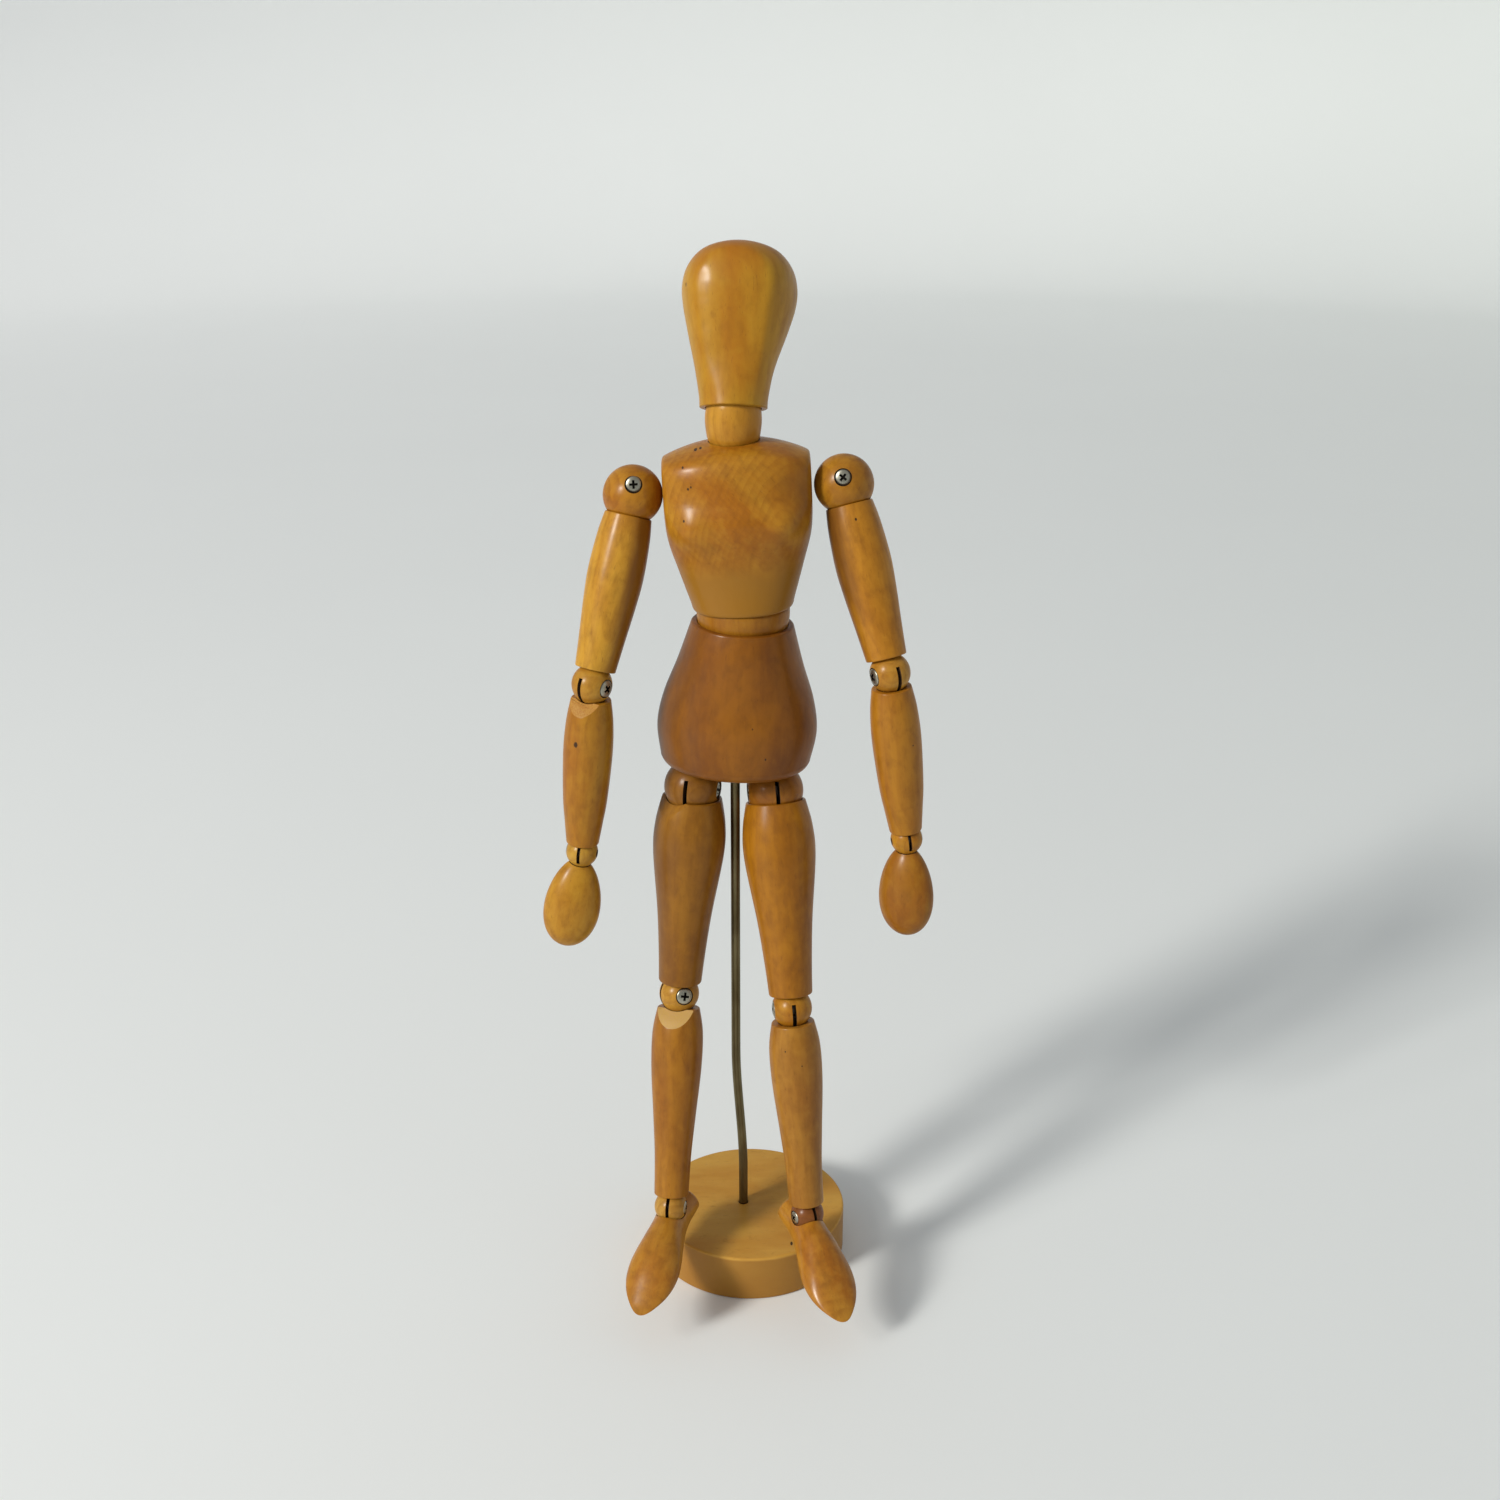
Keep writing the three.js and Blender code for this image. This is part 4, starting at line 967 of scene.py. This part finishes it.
# A foot's lines against the distance in front of its ankle: half width, top and sole.
FOOT_WIDTH = [(-9.8, 6.9), (-8.5, 6.9), (-5, 6.4), (-1, 5.8), (4, 5.8), (10, 6.8), (18, 8.2), (23, 8.4),
              (30, 7.6), (37.4, 5.8)]
FOOT_TOP = [(-9.8, -0.2), (-7, -0.2), (0, 0.3), (6, 0.6), (12, 0.3), (19, -1.0), (25, -3.2), (31, -6.2),
            (37.4, -9.2)]
FOOT_SOLE = [(-9.8, -8.6), (-7, -9.2), (0, -9.4), (30, -9.6), (37.4, -9.6)]
FOOT_RISE = {"right": 0.0, "left": 1.4}     # how much higher the wood stands round each ankle's ball
FOOT_TURN = {"right": 15.4, "left": -19.2}  # how far each foot's toes point outwards
FOOT_ABOVE = (0.95, 1.15)   # how square a foot's section is across and upwards, above its widest line
FOOT_BELOW = (0.75, 0.6)
FOOT_WIDEST = 0.30          # how far up the foot's side it is widest, as a share of its height there
HEEL_ROUND = 2.0            # the lengths over which the heel and the toe round off
TOE_ROUND = 15.0


def make_foot(side):
    ankle = joint_at(f"{side}_ankle_bend")
    up = joint_line(f"{side}_foot_turn", UP)
    turn = math.radians(FOOT_TURN[side])
    place = placed(ankle, up, Vector((-math.sin(turn), -math.cos(turn), 0)))
    around = 72
    rows = 90
    heel, toe = FOOT_WIDTH[0][0], FOOT_WIDTH[-1][0]
    verts = []
    for i in range(rows + 1):
        forward = heel + (toe - heel) * (0.5 - 0.5 * math.cos(math.pi * i / rows))
        back_in = max(0.0, 1 - (forward - heel) / HEEL_ROUND)
        toe_in = max(0.0, 1 - (toe - forward) / TOE_ROUND)
        full = max(0.001, math.sqrt(1 - back_in ** 2) * math.sqrt(max(0.0, 1 - toe_in ** 2.2)))
        wide = value_at(FOOT_WIDTH, forward) * full
        collar = smoothstep(-5, 2, forward) * (1 - smoothstep(9, 20, forward))
        high = value_at(FOOT_TOP, forward) + FOOT_RISE[side] * collar
        low = value_at(FOOT_SOLE, forward)
        middle, tall = (high + low) / 2, (high - low) * full ** 0.8
        belt = middle + tall * (FOOT_WIDEST - 0.5)
        for k in range(around):
            a = 2 * math.pi * k / around
            over = math.sin(a) > 0
            across, upwards = FOOT_ABOVE if over else FOOT_BELOW
            reach = tall * (1 - FOOT_WIDEST if over else FOOT_WIDEST)
            verts.append(Vector((wide * squared(math.cos(a), across), -forward,
                                 belt + reach * squared(math.sin(a), upwards))))
    faces = ring_faces(rows + 1, around) + end_faces(rows + 1, around)
    foot = make_object(f"{side}_foot_wood", verts, faces, place)
    seed = 81 if side == "left" else 86
    material = wood(f"{side}_foot_varnish", seed, light=(0.46, 0.210, 0.018, 1), pith=(2, -18, -14),
                    tilt=(84, 0, 6), grain_tilt=(84, 0, 6), spacing=2.8, rings=0.35, gloss=0.6)
    foot.data.materials.append(material)
    # The ankle cup's face takes the near-black painted shade.
    cut(foot, ball_cutter(BALL["ankle"] + CUP_GAP, (0, 0, 0), CUP_AND_SLOT_SHADE))
    return finish_piece(foot, f"{side}_foot", "varnished_wood", material, f"{side}_foot")


# ---- the hidden metal keeps its CAD shape ----

def dress_metal():
    for name, node in frame["nodes"].items():
        material = {"tang": TANG_STEEL, "spring": SPRING_STEEL}.get(name.split("_")[-1])
        if material:
            for slot in node.material_slots:
                slot.material = material


# ---- the set ----

SWEEP = {"flat": 2.4, "bend": 0.5, "top": 0.9}      # in metres: a radius, a radius and a height
# The paper's lighter left side is painted light.
PAPER_RIGHT = (0.76, 0.785, 0.77, 1)
PAPER_LEFT = (0.98, 0.99, 0.985, 1)
PAPER_FADE = 0.42           # how fast the paper's painted light passes from one tone to the other, per metre
DAYLIGHT = (1.0, 0.985, 0.94)
WINDOW = {"place": (-1.10, -0.85, 0.98), "aim": (0, 0.05, 0.12), "size": (0.40, 0.75), "watts": 9.0}
SUN = {"way": (1.10, 0.90, -0.86), "strength": 1.65, "degrees": 10}
ROOM = {"colour": (0.93, 0.97, 1.0, 1), "strength": 0.38}
CAMERA = {"place": (0, -0.5417, 0.3993), "down": 21.56, "lens": 44.4}


def paper(name, right, left):
    """Matt paper that passes from one tone on the right to a lighter one on the left: a painted light
    falloff.
    """
    n = Nodes(name)
    place = n.add("ShaderNodeTexCoord").outputs["Object"]
    mottle = n.noise(n.moved(place, scale=(3, 3, 3)), 2.0)
    across = n.vectors("DOT_PRODUCT", place, (-1, 0, 0), "Value")
    share = n.plus(n.times(across, PAPER_FADE), 0.5)
    tone = n.mix(n.ramp(share, (0.0, 0.0), (1.0, 1.0)), right, left)
    darker = n.mix(1.0, tone, (0.97, 0.97, 0.97, 1), "MULTIPLY")
    n.set(n.shader.inputs["Base Color"], n.mix(mottle, tone, darker))
    n.shader.inputs["Roughness"].default_value = 0.7
    return n.material


def make_sweep():
    """A round sheet of pale paper: flat under the stand, and curved up far away all round."""
    flat, bend, top = SWEEP.values()
    line = [(r, 0.0) for r in (0.15, 0.3, 0.6, 1.2, 1.8, flat)]
    line += [(flat + bend * math.sin(a), bend - bend * math.cos(a))
             for a in (math.radians(90 * k / 24) for k in range(1, 25))]
    line += [(flat + bend, top)]
    around = 96
    verts = [Vector((0, 0, 0))] + [v / MM for r, z in line for v in ring(r, z, around)]
    faces = [(0, 1 + k, 1 + (k + 1) % around) for k in range(around)]
    faces += [(1 + i * around + k, 1 + (i + 1) * around + k, 1 + (i + 1) * around + (k + 1) % around,
               1 + i * around + (k + 1) % around) for i in range(len(line) - 1) for k in range(around)]
    sweep = make_object("paper_sweep", verts, faces, Matrix())
    sweep.data.materials.append(paper("sweep_paper", PAPER_RIGHT, PAPER_LEFT))
    sweep.data.shade_smooth()


def add_light(light, way, place=(0, 0, 0)):
    """Puts a light in the scene, shining along way."""
    light.color = DAYLIGHT
    obj = bpy.data.objects.new(light.name, light)
    obj.location = place
    obj.rotation_euler = Vector(way).to_track_quat("-Z", "Y").to_euler()
    bpy.context.scene.collection.objects.link(obj)


def make_lights():
    bpy.context.scene.view_settings.view_transform = "Standard"
    window = bpy.data.lights.new("window", "AREA")
    window.shape = "RECTANGLE"
    window.size, window.size_y = WINDOW["size"]
    window.energy = WINDOW["watts"]
    add_light(window, Vector(WINDOW["aim"]) - Vector(WINDOW["place"]), WINDOW["place"])
    sun = bpy.data.lights.new("far_window", "SUN")
    sun.energy = SUN["strength"]
    sun.angle = math.radians(SUN["degrees"])
    add_light(sun, SUN["way"])
    world = bpy.data.worlds.new("room")
    world.use_nodes = True
    background = world.node_tree.nodes["Background"]
    background.inputs["Color"].default_value = ROOM["colour"]
    background.inputs["Strength"].default_value = ROOM["strength"]
    bpy.context.scene.world = world


def make_camera():
    camera = bpy.data.objects.new("camera", bpy.data.cameras.new("camera"))
    camera.location = CAMERA["place"]
    camera.rotation_euler = (math.radians(90 - CAMERA["down"]), 0, 0)
    camera.data.sensor_width = 36
    camera.data.lens = CAMERA["lens"]
    camera.data.clip_start = 0.01
    bpy.context.scene.collection.objects.link(camera)
    bpy.context.scene.camera = camera


make_base()
make_rod()
make_pelvis()
make_waist()
make_chest()
make_neck()
make_head()
for figure_side in ("left", "right"):
    for joint_name in BALL:
        make_joint(figure_side, joint_name)
    for limb_name in LIMBS:
        make_limb(figure_side, limb_name)
    make_hand(figure_side)
    make_foot(figure_side)
dress_metal()
make_sweep()
make_lights()
make_camera()
